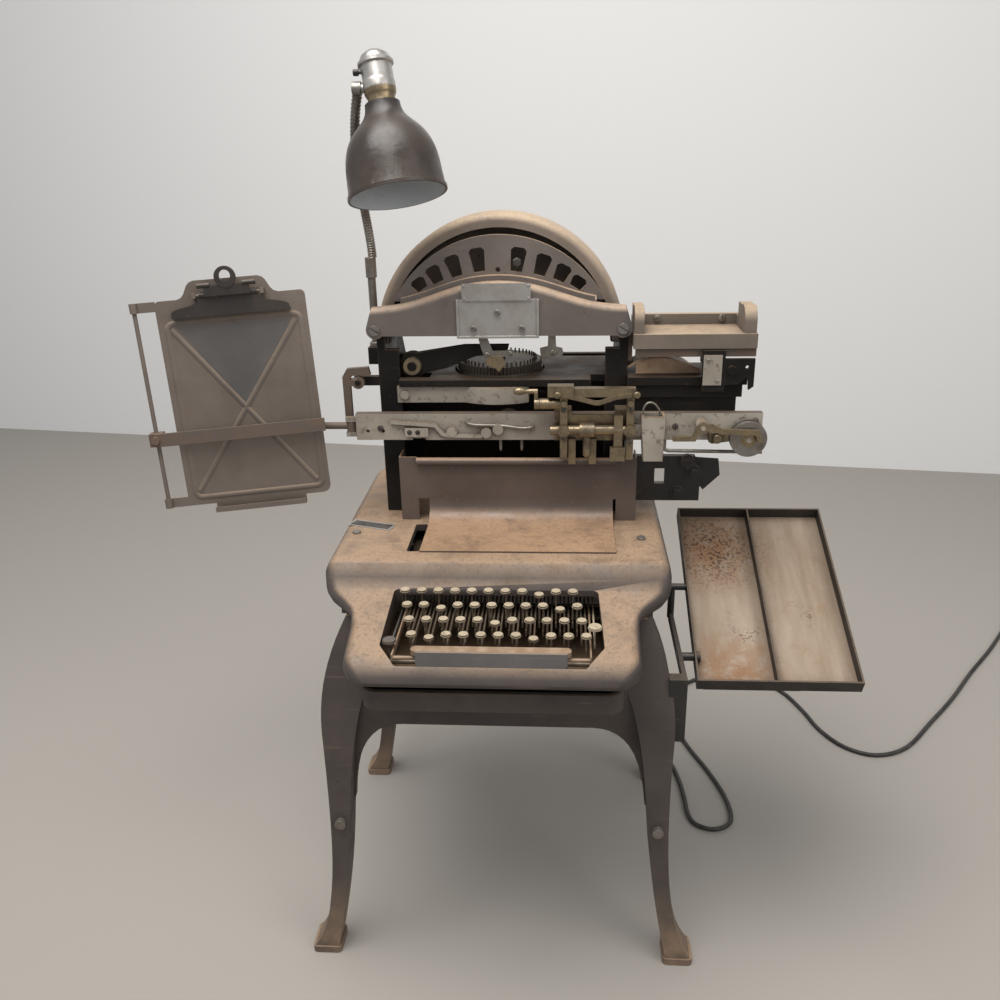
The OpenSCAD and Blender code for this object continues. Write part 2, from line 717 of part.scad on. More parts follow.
module hook_lever() color(rust) difference() {
  plate_xz(side_y - 10, side_y - gap) {
    bar_path([
      [lug_x + 16, lug_z + 12], [lug_x + 14, lug_z + 20], [lug_x - 14, lug_z + 18], [lug_x - 20, lug_z + 8],
      [lug_x - 20, lug_z - 78], [lug_x - 8, lug_z - 86]
    ], 13);
    bar_path([[lug_x - 20, lug_z], [lug_x, lug_z]], 12);
    translate([lug_x, lug_z]) circle(11);
  }
  rod_y(lug_x, side_y - 20, side_y + 1, lug_z, 5 + fit);
}

// Carriage rail with its front details, brackets and the copyholder clevis
module carriage_rail() color(cream) {
  difference() {
    union() {
      span([rail_x, rail_y, rail_z], [rail_end, rail_y + rail_t, rail_top]);
      both_sides() span([side_hw - 31, rail_y + rail_t - 1, rail_z + 2], [side_hw - 9, side_y, rail_z + 28]);
      span([rail_x + 84, rail_y - 6, rail_z + 7], [rail_x + 124, rail_y + 1, rail_z + 23]);
      for (p = [[164, 16], [222, 14], [242, 20]])
        rod_y(rail_x + p.x, rail_y - 7, rail_y + 1, rail_z + p.y, 9);
      for (z = [arm_z - 17, arm_z + 9]) span([arm_x - 9, arm_y - 9, z], [rail_x + 1, arm_y, z + 8]);
      rod_y(spool_x, rail_y - 27, rail_y + 1, spool_z, 5);
      rod_y(spool_x, rail_y - 5 + gap, rail_y + 1, spool_z, 12);
      rod_y(hook_x, rail_y - 35, rail_y + 1, hook_z, 4);
      rod_y(hook_x, rail_y - 27 + gap, rail_y + 1, hook_z, 9);
      span([rail_end - 40, rail_y + 2, rail_z - 24], [rail_end - 20, rail_y + 8, rail_z + 1]);
    }
    for (x = [20, 46]) rod_y(rail_x + x, rail_y - 1, rail_y + rail_t + 1, rail_z + 16, 3);
    for (x = [100, 114]) rod_y(rail_x + x - 8, rail_y - 8, rail_y + 3, rail_z + 15, 4);
    span([rail_x + 96, rail_y - 1, rail_z - 1], [rail_x + 118, rail_y + rail_t + 1, rail_z + 3]);
  }
  rod_z(arm_x, arm_y, arm_z - 10, arm_z + 10, 4);
  // bent rod along the front
  plate_xz(rail_y - 6.4, rail_y) translate([rail_x, rail_z])
    bar_path([[60, 33], [136, 27], [148, 12], [160, 9], [215, 8]], 6.4);
}
module spring_drum() color(steel) difference() {
  union() {
    rod_y(spool_x, rail_y - 23, rail_y - 5, spool_z, spool_r - 3);
    rod_y(spool_x, rail_y - 23, rail_y - 20, spool_z, spool_r);
    rod_y(spool_x, rail_y - 8, rail_y - 5, spool_z, spool_r);
  }
  rod_y(spool_x, rail_y - 30, rail_y, spool_z, 5 + fit);
  rod_y(spool_x + spool_r * 0.5, rail_y - 30, rail_y, spool_z, 4);
}
module release_lever() color(brass) difference() {
  plate_xz(rail_y - 33, rail_y - 27) {
    bar_path([
      [hook_x - 48, hook_z - 18], [hook_x - 14, hook_z - 18], [hook_x - 6, hook_z], [hook_x + 14, hook_z + 2],
      [hook_x + 30, hook_z - 6], [hook_x + 88, hook_z - 8], [hook_x + 94, hook_z - 24]
    ], 9);
    translate([hook_x, hook_z]) circle(9);
  }
  rod_y(hook_x, rail_y - 40, rail_y - 20, hook_z, 4 + fit);
}

// Carriage: two shoes over the rail's top edge carry a back plate, posts, bar and tube
module carriage() color(brass) difference() {
  union() {
    span([post_x[0] - 9, slide_y - 6, rail_z + 4], [post_x[1] + 11, slide_y, rail_top + 2]);
    for (x = [post_x[0] - 9, post_x[1] - 17]) {
      span([x, slide_y - 6, rail_top + gap], [x + 28, rail_y + rail_t + 7, rail_top + 8]);
      span([x, rail_y + rail_t + gap, rail_top - 12], [x + 28, rail_y + rail_t + 7, rail_top + 8]);
    }
    for (x = post_x) {
      span([x, 3, rail_z - 24], [x + post_w, slide_y - 5, rail_top + 38]);
      rod_y(x + post_w / 2, -3, 8, rail_top + 26, 5);
      rod_y(x + post_w / 2, -2, 8, tube_z, 10);
    }
    span([post_x[0] - 20, 1, rail_top + 37], [post_x[1] + 14, 17, rail_top + 51]);
    span([post_x[0] - 20, -3, rail_top + 38], [post_x[0] + 22, 17, rail_top + 56]);
    rod_x(post_x[0] - 16, post_x[1] + 4, tube_y, tube_z, tube_r);
    span([post_x[1] - 20, 0, rail_z - 22], [post_x[1] - 6, slide_y - 5, rail_top + 6]);
    span([post_x[1] - 26, -6, rail_z - 24], [post_x[1] - 2, 8, rail_z - 2]);
    for (x = [post_x[0] + 14, post_x[0] + 48])
      span([x, slide_y - 12, rail_z - 36], [x + 12, slide_y - 4, rail_z + 8]);
    rod_x(post_x[0] - 33, post_x[0] + 3, crank_y, crank_z, 9);
  }
  rod_x(post_x[0] - 34, post_x[0] - 2, crank_y, crank_z, 5 + fit);
}
module carriage_handle() color(brass) difference() {
  union() {
    rod_x(post_x[0] + 32, post_x[0] + 56, tube_y, tube_z, tube_r + 4.5);
    rod_z(post_x[0] + 44, tube_y, tube_z - 41, tube_z, 6.5);
    translate([post_x[0] + 44, tube_y, tube_z - 41]) sphere(6.5);
  }
  rod_x(post_x[0] + 30, post_x[0] + 58, tube_y, tube_z, tube_r + fit);
}
module feed_crank() color(brass) {
  rod_x(post_x[0] - 42, post_x[0] - 4, crank_y, crank_z, 5);
  rod_x(post_x[0] - 42, post_x[0] - 33 - gap, crank_y, crank_z, 9);
  span([post_x[0] - 42, crank_y - 5, crank_z], [post_x[0] - 36, crank_y + 5, crank_z + 21]);
  translate([post_x[0] - 36, crank_y, crank_z + 21]) rotate([0, -90, 0]) rotate_extrude() polygon([
    [0, 0], [4, 0], [4, 14], [3, 18], [5.5, 24], [6.5, 30], [5.5, 36], [3, 40], [0, 41]
  ]);
}
module plate_holder() color(cream) {
  x0 = post_x[1] + post_w + 11;
  difference() {
    plate_xz(-8, slide_y - 2) polygon([
      [x0, rail_top + 6], [x0 + 40, rail_top + 6], [x0 + 37, rail_z - 24], [x0 + 5, rail_z - 24]
    ]);
    span([x0 + 6, -3, rail_z - 10], [x0 + 34, slide_y - 6, rail_top + 9]);
  }
  span([post_x[1] + post_w, 8 + gap, rail_z + 14], [x0 + 2, 14, rail_z + 34]);
}

// Front panel: a sheet with a rolled top, an S curve into an apron on the deck, and side returns
panel_y = side_y - 42;
panel_top = deck_z + 116;
panel_curve = bez([0, 44], [0, 14], [-16, panel_t], [-48, panel_t]);
module front_panel() color(paint) translate([0, panel_y, 0]) {
  plate_yz(panel_x[0], panel_x[1]) {
    translate([0, deck_z + 40]) square([panel_t, panel_top - deck_z - 44]);
    translate([-4, panel_top - 6]) circle(6.5);
  }
  plate_yz(apron_x[0], apron_x[1]) translate([0, deck_z]) polygon(concat(
    [[panel_t, 44]], panel_curve, [[-138, panel_t], [-138, 0], [-46, 0]],
    bez([-46, 0], [-14, 0], [panel_t, 12], [panel_t, 42])
  ));
  // side flanges and returns, standing on the deck
  for (s = [[panel_x[0] - 31, panel_x[0]], [panel_x[1], panel_x[1] + 34]])
    span([s[0], 0, deck_z], [s[1], panel_t, panel_top]);
  for (x = [panel_x[0] - 31, panel_x[1] + 34 - panel_t])
    span([x, 0, deck_z], [x + panel_t, side_y - gap - panel_y, panel_top]);
}

// Hopper: a bed with rounded end plates on the right side frame, and a runner for its clamp
module hopper_end(x0, x1) {
  plate_yz(x0, x1) {
    translate([hopper_y + 5, bed_z + bed_t - 1]) square([hopper_d - 10, hopper_h - 24]);
    translate([hopper_y + 30, bed_z + bed_t + hopper_h - 25]) circle(25);
    translate([hopper_y + 30, bed_z + bed_t - 1]) square([hopper_d - 55, hopper_h - 1]);
  }
}
module hopper_bed() color(paint) {
  span([hopper_x, hopper_y, bed_z], [hopper_x + hopper_l, hopper_y + hopper_d, bed_z + bed_t]);
  hopper_end(hopper_x + 1, hopper_x + 17);
  hopper_end(hopper_x + hopper_l - 22, hopper_x + hopper_l - 2);
  translate([hopper_x, hopper_y, bed_z]) {
    span([10, hopper_d - 12, 1], [hopper_l - 12, hopper_d, bed_t + 18]);
    span([4, 5, -runner_h], [hopper_l, 17, 1]);
  }
  span([side_hw, side_y + 6, bed_z - 28], [hopper_x + 1, side_y + 50, bed_z + bed_t]);
}
module hopper_clamp() color(dark) difference() {
  union() {
    y0 = hopper_y + 5;
    span([clamp_x, y0 - 9, bed_z - 70], [clamp_x + 36, y0 - gap, bed_z - 2]);
    span([clamp_x, y0 - 9, bed_z - runner_h - 12], [clamp_x + 36, y0 + 24, bed_z - runner_h - gap]);
    span([clamp_x, y0 + 12 + gap, bed_z - runner_h - 12], [clamp_x + 36, y0 + 24, bed_z - 2]);
    plate_xz(y0 - 8, y0 - 1) translate([clamp_x, bed_z]) polygon([
      [30, -60], [60, -58], [74, -44], [76, -68], [84, -62], [84, -16], [30, -16]
    ]);
    rod_y(clamp_x + 47, y0 - 13, y0 - 4, bed_z - 34, 7);
  }
  rod_y(clamp_x + 72, 0, 90, bed_z - 30, 3);
}
module receiving_shelf() color(dark) {
  span([side_hw, 60, tray_shelf_z - 14], [side_hw + 196, 165, tray_shelf_z]);
  span([side_hw, 66, tray_shelf_z - 36], [side_hw + 190, 158, tray_shelf_z - 13]);
  for (y = [72, 142]) span([side_hw, y, tray_shelf_z - 62], [side_hw + 182, y + 12, tray_shelf_z - 35]);
  // curved strip that guides the plates
  difference() {
    rod_y(side_hw + 52, 87, 133, tray_shelf_z - 62, 90);
    rod_y(side_hw + 52, 85, 135, tray_shelf_z - 62, 86);
    span([side_hw - 100, 60, tray_shelf_z - 200], [side_hw + 200, 200, tray_shelf_z - 1]);
    span([side_hw - 100, 60, tray_shelf_z - 200], [side_hw + gap, 200, tray_shelf_z + 60]);
  }
}
module lower_bracket() color(dark) translate([side_hw, side_y + 4, deck_z + 20]) {
  difference() {
    plate_xz(0, 12) polygon([[0, 0], [132, 0], [132, 50], [122, 83], [0, 83]]);
    span([53, -1, 32], [71, 13, 60]);
  }
  rod_y(93, -3, 0, 16, 12);
  rod_y(93, -10, -3, 16, 7);
  // link with its bolt, and the chute flap behind the plate
  plate_xz(-8, 0) {
    bar_path([[108, 76], [120, 56]], 18);
    for (p = [[108, 76], [120, 56]]) translate(p) circle(12);
  }
  rod_y(120, -14, -8, 56, 7);
  plate_xz(12, 15) polygon([[108, 78], [164, 74], [168, 44], [140, 16], [122, 36]]);
}

// Keyboard: each key is a disc on a wire stem on a flat lever that turns on the pivot rod
function key_x(row, i) = (i - (key_cols - 1) / 2) * key_pitch + (row - 1.5) * lever_step;
function key_y(row) = row_back - row * key_pitch;
function key_z(row) = key_top - row * row_rise;
// Worn keys that hang low, as row and column
low_keys = [[0, 8], [1, 2], [1, 9], [2, 5], [3, 1], [3, 7]];
function key_sag(row, i) = len([for (k = low_keys) if (k == [row, i]) 1]) > 0 ? 6 : 0;
module key_lever(x, y_front) difference() {
  plate_yz(x - lever_t / 2, x + lever_t / 2) {
    translate([y_front - 4, pivot_z - lever_h / 2]) square([pivot_y - y_front + 4, lever_h]);
    translate([pivot_y, pivot_z]) circle(pivot_r + 4);
  }
  rod_x(x - lever_t, x + lever_t, pivot_y, pivot_z, pivot_r + fit);
}
module round_key(x, y, z, r) {
  key_lever(x, y);
  rod_z(x, y, pivot_z, z - 3, 1.2);
  rod_z(x, y, z - 4, z - 2.5, r);
  rod_z(x, y, z - 2.5, z, r - 1);
}
module key_row(row) color(cream) for (i = [0:key_cols - 1])
  round_key(key_x(row, i), key_y(row), key_z(row) - key_sag(row, i), key_r);
module key_row_1() key_row(0);
module key_row_2() key_row(1);
module key_row_3() key_row(2);
module key_row_4() key_row(3);
module shift_key_left() color(steel) round_key(-shift_x, key_y(3) - 6, key_z(3) - 8, shift_r);
module shift_key_right() color(cream) round_key(shift_x, key_y(2) - 8, key_z(2) - 6, shift_r);
module space_bar() color(rust) {
  for (s = [-1, 1]) key_lever(s * space_x, space_y);
  rod_x(-space_x - lever_t / 2, space_x + lever_t / 2, space_y, pivot_z - 2, 3);
  for (s = [-1, 1]) rod_z(s * (space_l / 2 - 20), space_y, pivot_z - 2, key_z(3) - 18, 3);
  plate_xy(key_z(3) - 20, key_z(3) - 12) {
    translate([-space_l / 2 + 8, space_y - 8]) square([space_l - 16, 16]);
    for (s = [-1, 1]) translate([s * (space_l / 2 - 8), space_y]) circle(8);
  }
}
module keyboard_frame() color(steel) {
  both_sides() plate_yz(cheek_x, cheek_x + cheek_t) polygon([
    [open_front + 14, pan_floor], [pivot_y + 16, pan_floor], [pivot_y + 16, pivot_z + 12],
    [open_front + 84, pivot_z + 12], [open_front + 14, base_top(open_front + 14) - deck_t - 2]
  ]);
  rod_x(-cheek_x - 1, cheek_x + 1, pivot_y, pivot_z, pivot_r);
  for (y = [key_y(3) - 4, pivot_y - 58]) rod_x(-cheek_x - 1, cheek_x + 1, y, pivot_z - 21, 4);
  span([-108, open_front + gap, pivot_z - 18], [112, open_front + 3.5, pivot_z + 22]);
}

// Drive in and behind the base: motor, pulley, belt, flywheel on the main shaft
module motor() color(black) {
  rod_y(0, wheel_y - 176, wheel_y - 12, motor_z, motor_r);
  for (y = [wheel_y - 190, wheel_y - 20]) rod_y(0, y, y + 16, motor_z, motor_r - 8);
  rod_y(0, wheel_y - 10, wheel_y + wheel_w, motor_z, 8);
  for (y = [wheel_y - 150, wheel_y - 60])
    span([-motor_r + 10, y, motor_z + 10], [motor_r - 10, y + 30, deck_z - deck_t - gap]);
}
module belt_wheel(z, r, bore) difference() {
  union() {
    rod_y(0, wheel_y, wheel_y + rim_flange, z, r + 8);
    rod_y(0, wheel_y + 8, wheel_y + wheel_w - 8, z, r);
    rod_y(0, wheel_y + wheel_w - rim_flange, wheel_y + wheel_w, z, r + 8);
  }
  rod_y(0, wheel_y - 1, wheel_y + wheel_w + 1, z, bore);
}
module motor_pulley() color(steel) belt_wheel(motor_z, pulley_r, 8 + fit);
module flywheel() color(dark) {
  difference() {
    belt_wheel(wheel_z, belt_r, shaft_r - 1);
    translate([0, 0, wheel_z]) for (a = [0:60:300]) rotate([0, a, 0])
      rod_y(50, wheel_y - 1, wheel_y + wheel_w + 1, 0, 15);
  }
  rod_y(0, side_y + side_d - 70, wheel_y + wheel_w + 6, wheel_z, shaft_r);
  rod_y(0, side_y + side_d - 66, side_y + side_d - 52 - gap, wheel_z, shaft_r + 12);
}
module belt_outline(extra) hull() {
  translate([0, motor_z]) circle(pulley_r + extra, $fn = 48);
  translate([0, wheel_z]) circle(belt_r + extra, $fn = 64);
}
module drive_belt() color(black) {
  mid = wheel_y + wheel_w / 2;
  plate_xz(mid - belt_w / 2, mid + belt_w / 2) difference() {
    belt_outline(belt_t);
    belt_outline(gap);
  }
}

// Lamp: stem in the coupling, ribbed gooseneck, and a head that tilts on the knuckle
module lamp_stem() color(steel) {
  rod_z(stem_x, stem_y, stem_z, ferrule_z + 2, stem_r);
  rod_z(stem_x, stem_y, coupling_z + gap, coupling_z + 8, stem_r + 4);
  rod_z(stem_x, stem_y, ferrule_z, ferrule_z + 34, stem_r + 2.5);
  rod_x(knuckle.x - 14, knuckle.x, knuckle.y, knuckle.z, 10);
  rod_x(knuckle.x - 4, knuckle.x + 12, knuckle.y, knuckle.z, knuckle_pin_r);
}
neck_end = knuckle + [-7, 2, -6];
neck_bend = bez(
  neck_start, neck_start + [-2, 0, 70], knuckle + [-42, 58, -100], neck_end, 112
);
module gooseneck() color(steel) difference() {
  d = headings(neck_bend);
  u = carried(d, [1, 0, 0]);
  skin([for (i = [0:len(neck_bend) - 1]) tube_ring(neck_bend[i], d[i], u[i], neck_r - (i % 2) * 1.2, 8)]);
  tube([for (i = [0:8:112]) neck_bend[i]], neck_r - 3, 8);
}
module lamp_frame() translate(lamp_at) rotate(lamp_lean) children();
shade_line = bez(
  [shade_neck, shade_top], [shade_neck, -0.38 * shade_l], [shade_r - 5, -0.32 * shade_l],
  [shade_r - 3, -0.8 * shade_l], 16
);
module lamp_shade() color(dark) lamp_frame() rotate_extrude() polygon(concat(
  shade_line,
  [[shade_r - 1, 6 - shade_l], [shade_r + 1, 5 - shade_l], [shade_r + 1, -shade_l], [shade_r - 3, -shade_l]],
  [for (i = [len(shade_line) - 1:-1:0]) shade_line[i] - [shade_t, 0]]
));
module lamp_socket() color(steel) difference() {
  seat = shade_neck - shade_t - gap;
  union() {
    lamp_frame() rotate_extrude() polygon([
      [0, shade_top - 6], [seat, shade_top - 6], [seat, shade_top + 1], [21, shade_top + 1],
      [21, shade_top + 9], [socket_r - 2, -7], [socket_r - 1, 0], [socket_r - 1, 8], [socket_r - 2, 14],
      [socket_r - 2, 34], [socket_r + 1.5, 36], [socket_r + 1.5, 40], [socket_r - 1, 42], [socket_r - 5, 50],
      [13, 56], [0, 58]
    ]);
    rod_x(knuckle.x + gap, lamp_at.x - 10, knuckle.y, knuckle.z, 7);
  }
  rod_x(knuckle.x - 1, knuckle.x + 13, knuckle.y, knuckle.z, knuckle_pin_r + fit);
  rod_x(switch_at.x - 20, switch_at.x + 14, switch_at.y, switch_at.z, switch_pin_r + fit);
}
module lamp_switch() color(black) {
  rod_x(switch_at.x - 12, switch_at.x + 12, switch_at.y, switch_at.z, switch_pin_r);
  rod_x(switch_at.x - 14, switch_at.x - 6, switch_at.y, switch_at.z, 5);
}
module lamp_bulb() color("#e8e4da") lamp_frame() rotate_extrude() polygon(concat(
  [[0, shade_top - 6 - gap], [14, shade_top - 6 - gap], [14, -34]],
  bez([15, -38], [20, -60], [33, -66], [33, -92]),
  bez([33, -92], [33, -116], [16, -125], [0, -125])
));

// Copyholder: everything is built flat about the board's centre, then set in place
module board_frame() translate(board_at)
  rotate([0, 0, board_yaw]) rotate([board_back, 0, 0]) rotate([0, board_roll, 0]) children();
module board_outline() {
  hw = board_w / 2;
  hh = board_h / 2;
  translate([-hw, -hh]) square([board_w, board_h - 8]);
  translate([-hw + 8, hh - 9]) square([board_w - 16, 9]);
  for (s = [-1, 1]) translate([s * (hw - 8), hh - 8]) circle(8);
  polygon(concat(
    [[-84, hh - 1]], bez([-84, hh], [-66, hh + 2], [-72, hh + 26], [-54, hh + 28], 6),
    bez([48, hh + 28], [66, hh + 26], [60, hh + 2], [78, hh], 6), [[78, hh - 1]]
  ));
  // ears that hold the side rod
  for (z = [-hh, hh - 16]) translate([side_rod_x - 4, z]) square([-hw - side_rod_x + 5, 16]);
}
module copy_board() color(paint) board_frame() {
  plate_xz(0, board_t) board_outline();
  for (z = [-board_h / 2, board_h / 2 - 16]) rod_z(side_rod_x, 0, z, z + 16, side_rod_r + 3);
  rod_z(side_rod_x, 0, -board_h / 2, board_h / 2, side_rod_r);
  // bottom ledge, and lugs with the pin of the clip
  translate([0, 0, -board_h / 2]) {
    span([-75, 0, -12], [77, board_t, 1]);
    span([-75, -14, -13], [77, board_t, -10]);
    span([-75, -14, -13], [77, -12, -4]);
  }
  for (s = [-1, 1]) span([s * 54 - 3, clip_y - 4, clip_z - 4], [s * 54 + 3, 1, clip_z + 4]);
  rod_x(-56, 56, clip_y, clip_z, clip_pin_r);
}
module board_clip() color(dark) board_frame() translate([0, clip_y, clip_z]) difference() {
  union() {
    rod_x(-46, 46, 0, 0, 5);
    plate_xz(-2, 1) polygon(concat(
      [[46, 0], [46, -4]], bez([46, -6], [56, -20], [84, -14], [94, -24], 6), [[94, -31], [-94, -31]],
      bez([-94, -24], [-84, -14], [-56, -20], [-46, -6], 6), [[-46, 0]]
    ));
    span([-94, -2, -33], [94, -clip_y - gap, -29]);
    // thumb plate with its ring and curled corners
    span([-36, -8, -2], [36, -5, 14]);
    span([-36, -8, -2], [36, 1, 2]);
    rod_y(0, -9, -4, 26, 17);
    for (s = [-1, 1]) rod_x(s * 36 - 10, s * 36 + 10, -6, 15, 4);
  }
  rod_x(-60, 60, 0, 0, clip_pin_r + fit);
  rod_y(0, -12, 0, 28, 9);
}
module line_guide() color(paint) board_frame() difference() {
  union() {
    span([side_rod_x - 10, -13, guide_z], [side_rod_x + 12, 9, guide_z + guide_h]);
    span([side_rod_x, -17, guide_z], [board_w / 2 + 6, -13, guide_z + guide_h]);
    rod_y(side_rod_x + 1, -20, -8, guide_z + guide_h / 2, 7);
  }
  rod_z(side_rod_x, 0, guide_z - 1, guide_z + guide_h + 1, side_rod_r + fit);
}
module copy_arm() color(rust) {
  difference() {
    union() {
      rod_z(arm_x, arm_y, arm_z - 9 + gap, arm_z + 9 - gap, 9);
      rod_x(board_at.x, arm_x, arm_y, arm_z, 6);
    }
    rod_z(arm_x, arm_y, arm_z - 12, arm_z + 12, 4 + fit);
  }
  difference() {
    board_frame() span([-22, board_t, -76], [22, 46, -38]);
    rod_x(board_at.x - 60, arm_x, arm_y, arm_z, 6);
  }
}

// Tray: built about its pin in the left wall, then tilted
module tray_frame() translate(tray_pin) rotate([tray_tilt, 0, 0]) children();
module tray() color(dark) tray_frame() difference() {
  low = -tray_h / 2;
  union() {
    span([0, tray_front, low], [tray_w, tray_front + tray_l, low + tray_t]);
    for (x = [0, tray_w * 0.485, tray_w - tray_t])
      span([x, tray_front, low], [x + tray_t, tray_front + tray_l, -low]);
    for (y = [tray_front, tray_front + tray_l - tray_t]) span([0, y, low], [tray_w, y + tray_t, -low]);
    span([12, tray_front + 4, low - 7], [tray_w * 0.64, tray_front + 16, low + 1]);
    rod_x(0, 10, 0, 0, tray_pin_r + 5);
  }
  rod_x(-1, 8, 0, 0, tray_pin_r + fit);
}
module tray_bracket() color(black) {
  y1 = tray_pin.y;
  y2 = 5;
  z2 = tray_pin.z + (y2 - y1) * tan(tray_tilt);
  difference() {
    span(
      [bracket_x - 24, bracket_y, tray_pin.z - 104],
      [bracket_x + 4, bracket_y + 20, tray_pin.z + 9]
    );
    front_legs();
  }
  span([bracket_x - 3, bracket_y, tray_pin.z - 9], [bracket_x + 4, y2 + 6, tray_pin.z + 9]);
  rod_x(bracket_x, tray_x - gap, y1, tray_pin.z, 7);
  rod_x(bracket_x, tray_x + 7, y1, tray_pin.z, tray_pin_r);
  rod_z(bracket_x, y2, tray_pin.z, z2, 6);
  translate([bracket_x, y2, z2]) sphere(6);
  rod_x(bracket_x, tray_x - gap, y2, z2, 6);
}

// Cord: gland on the back wall, free run, coil of piled loops and a plug
module cord_gland() color(black) translate(gland_at) rotate([-90, 0, 0]) rotate_extrude() polygon([
  [0, 0], [14, 0], [14, 6], [10, 8], [6.5, 40], [0, 40]
]);
// A point of the coil: spirals in on the floor, climbs in half a turn, and spirals out on top
coil_total = 2 * coil_turns + 0.4;
function coil_point(t) =
  let (
    s = t - coil_total / 2,
    r = coil_out - coil_pitch * coil_turns + coil_pitch * max(abs(s) - 0.25, 0),
    a = coil_start - 360 * t
  )
  [coil_at.x + r * cos(a), coil_at.y + r * sin(a), lay_z + coil_rise * smooth((s + 0.25) / 0.5)];
// The straight lead into the coil, at a distance before its first loop
function coil_lead(s) = coil_point(0) - s * unit(coil_point(0.02) - coil_point(0));
cord_line = [
  for (p = route(concat(ROUTE, [coil_lead(66), coil_lead(42), coil_lead(18)]), 2)) lifted(p, lay_z)
];
module cord_run() color(black) tube(cord_line, cord_r, 8);
coil_line = concat([coil_lead(18), coil_lead(9)], [for (i = [0:24 * coil_total]) coil_point(i / 24)]);
coil_tail = let (
  e = coil_point(coil_total),
  d = unit(e - coil_point(coil_total - 0.02))
) [for (k = [1:6]) e + d * k * 16 - [0, 0, coil_rise * smooth(k / 4)]];
coil_points = concat(coil_line, coil_tail);
coil_gap = min([
  for (i = [0:len(coil_points) - 1]) for (j = [i + 10:1:len(coil_points) - 1])
    norm(coil_points[i] - coil_points[j])
]) - cord_d;
echo(coil_self_gap = coil_gap);
module cord_coil() color(black) tube(coil_points, cord_r, 6);
module cord_plug() color(black) {
  n = len(coil_points) - 1;
  d = unit([coil_points[n].x - coil_points[n - 1].x, coil_points[n].y - coil_points[n - 1].y, 0]);
  translate(coil_points[n]) rotate([0, 0, atan2(d.y, d.x)]) rotate([0, 90, 0]) {
    rotate_extrude() polygon([[0, 0], [4.3, 0], [4.3, 14], [4.4, 40], [0, 40]]);
    translate([0, 0, 20]) linear_extrude(22) hull() for (s = [-1, 1]) translate([0, s * 10]) circle(4.4);
    for (s = [-1, 1]) translate([-0.8, s * 6.5 - 3, 40]) cube([1.6, 6, 18]);
  }
}

base_housing();
keyboard_pan();
front_legs();
rear_legs();
front_apron();
rear_side_aprons();
screws_and_bolts();
side_frame_left();
side_frame_right();
back_plate();
head_cover();
vent_plate();
rim_guard();
guard_plate();
die_shelf();
index_bar();
carriage_rail();
front_panel();
hopper_bed();
receiving_shelf();
lower_bracket();
keyboard_frame();
column_fittings();
tray_bracket();
motor();
drive_belt();
cord_gland();
cord_run();
cord_coil();
cord_plug();
key_row_1();
key_row_2();
key_row_3();
key_row_4();
space_bar();
shift_key_left();
shift_key_right();
die_drum();
flywheel();
motor_pulley();
ram_lever();
carriage();
carriage_handle();
feed_crank();
plate_holder();
spring_drum();
release_lever();
hook_lever();
hopper_clamp();
lamp_stem();
gooseneck();
lamp_shade();
lamp_socket();
lamp_bulb();
lamp_switch();
copy_arm();
copy_board();
board_clip();
line_guide();
tray();
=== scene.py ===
import json
import math
import bpy
from mathutils import Matrix, Vector


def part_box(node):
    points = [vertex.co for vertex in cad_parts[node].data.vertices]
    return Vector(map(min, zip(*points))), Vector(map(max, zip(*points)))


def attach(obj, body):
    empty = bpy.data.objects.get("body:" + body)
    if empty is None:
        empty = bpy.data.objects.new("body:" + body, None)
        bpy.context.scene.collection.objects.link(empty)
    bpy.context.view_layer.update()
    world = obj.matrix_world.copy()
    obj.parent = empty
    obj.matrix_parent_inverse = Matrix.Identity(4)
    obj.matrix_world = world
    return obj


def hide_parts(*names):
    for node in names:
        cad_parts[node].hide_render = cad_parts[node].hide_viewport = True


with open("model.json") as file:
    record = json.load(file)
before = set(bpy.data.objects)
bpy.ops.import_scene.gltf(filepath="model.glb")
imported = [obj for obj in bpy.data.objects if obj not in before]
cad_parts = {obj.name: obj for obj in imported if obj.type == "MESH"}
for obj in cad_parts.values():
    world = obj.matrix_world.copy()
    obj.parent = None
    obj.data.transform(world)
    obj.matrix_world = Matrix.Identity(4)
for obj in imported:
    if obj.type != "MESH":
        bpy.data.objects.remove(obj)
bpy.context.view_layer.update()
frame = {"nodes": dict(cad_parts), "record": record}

# Camera: a standing person's view from the front and a little to the right,
# looking down on the keyboard. The lens is a short one, as on a hand camera.
bpy.ops.object.select_all(action="DESELECT")
bpy.ops.object.camera_add()
camera = bpy.context.object
camera.data.sensor_width = 36
camera.data.lens = 33.48
stand_at = Matrix.Translation((0.1053, -1.462, 1.320))
turn_left = Matrix.Rotation(math.radians(4.2), 4, "Z")
look_down = Matrix.Rotation(math.radians(68.5), 4, "X")
lean = Matrix.Rotation(math.radians(-1.3), 4, "Z")
camera.matrix_world = stand_at @ turn_left @ look_down @ lean
bpy.context.scene.camera = camera
bpy.context.scene.view_settings.view_transform = "Standard"


# Mains cord: black rubber flex from the gland on the back of the base, down to the floor,
# along it in loose bends, and put away in a flat tied coil of two layers beside the machine.
def add(tree, kind, inputs=(), **settings):
    made = tree.nodes.new(kind)
    for name, value in settings.items():
        setattr(made, name, value)
    for socket, value in dict(inputs).items():
        if isinstance(value, bpy.types.NodeSocket):
            tree.links.new(value, made.inputs[socket])
        else:
            made.inputs[socket].default_value = value
    return made


def new_finish(name):
    finish = bpy.data.materials.new(name)
    finish.use_nodes = True
    tree = finish.node_tree
    return finish, tree, tree.nodes["Principled BSDF"]


def spread(tree, value, low, high):
    return add(tree, "ShaderNodeMapRange", {"Value": value, "From Min": low, "From Max": high}).outputs[0]


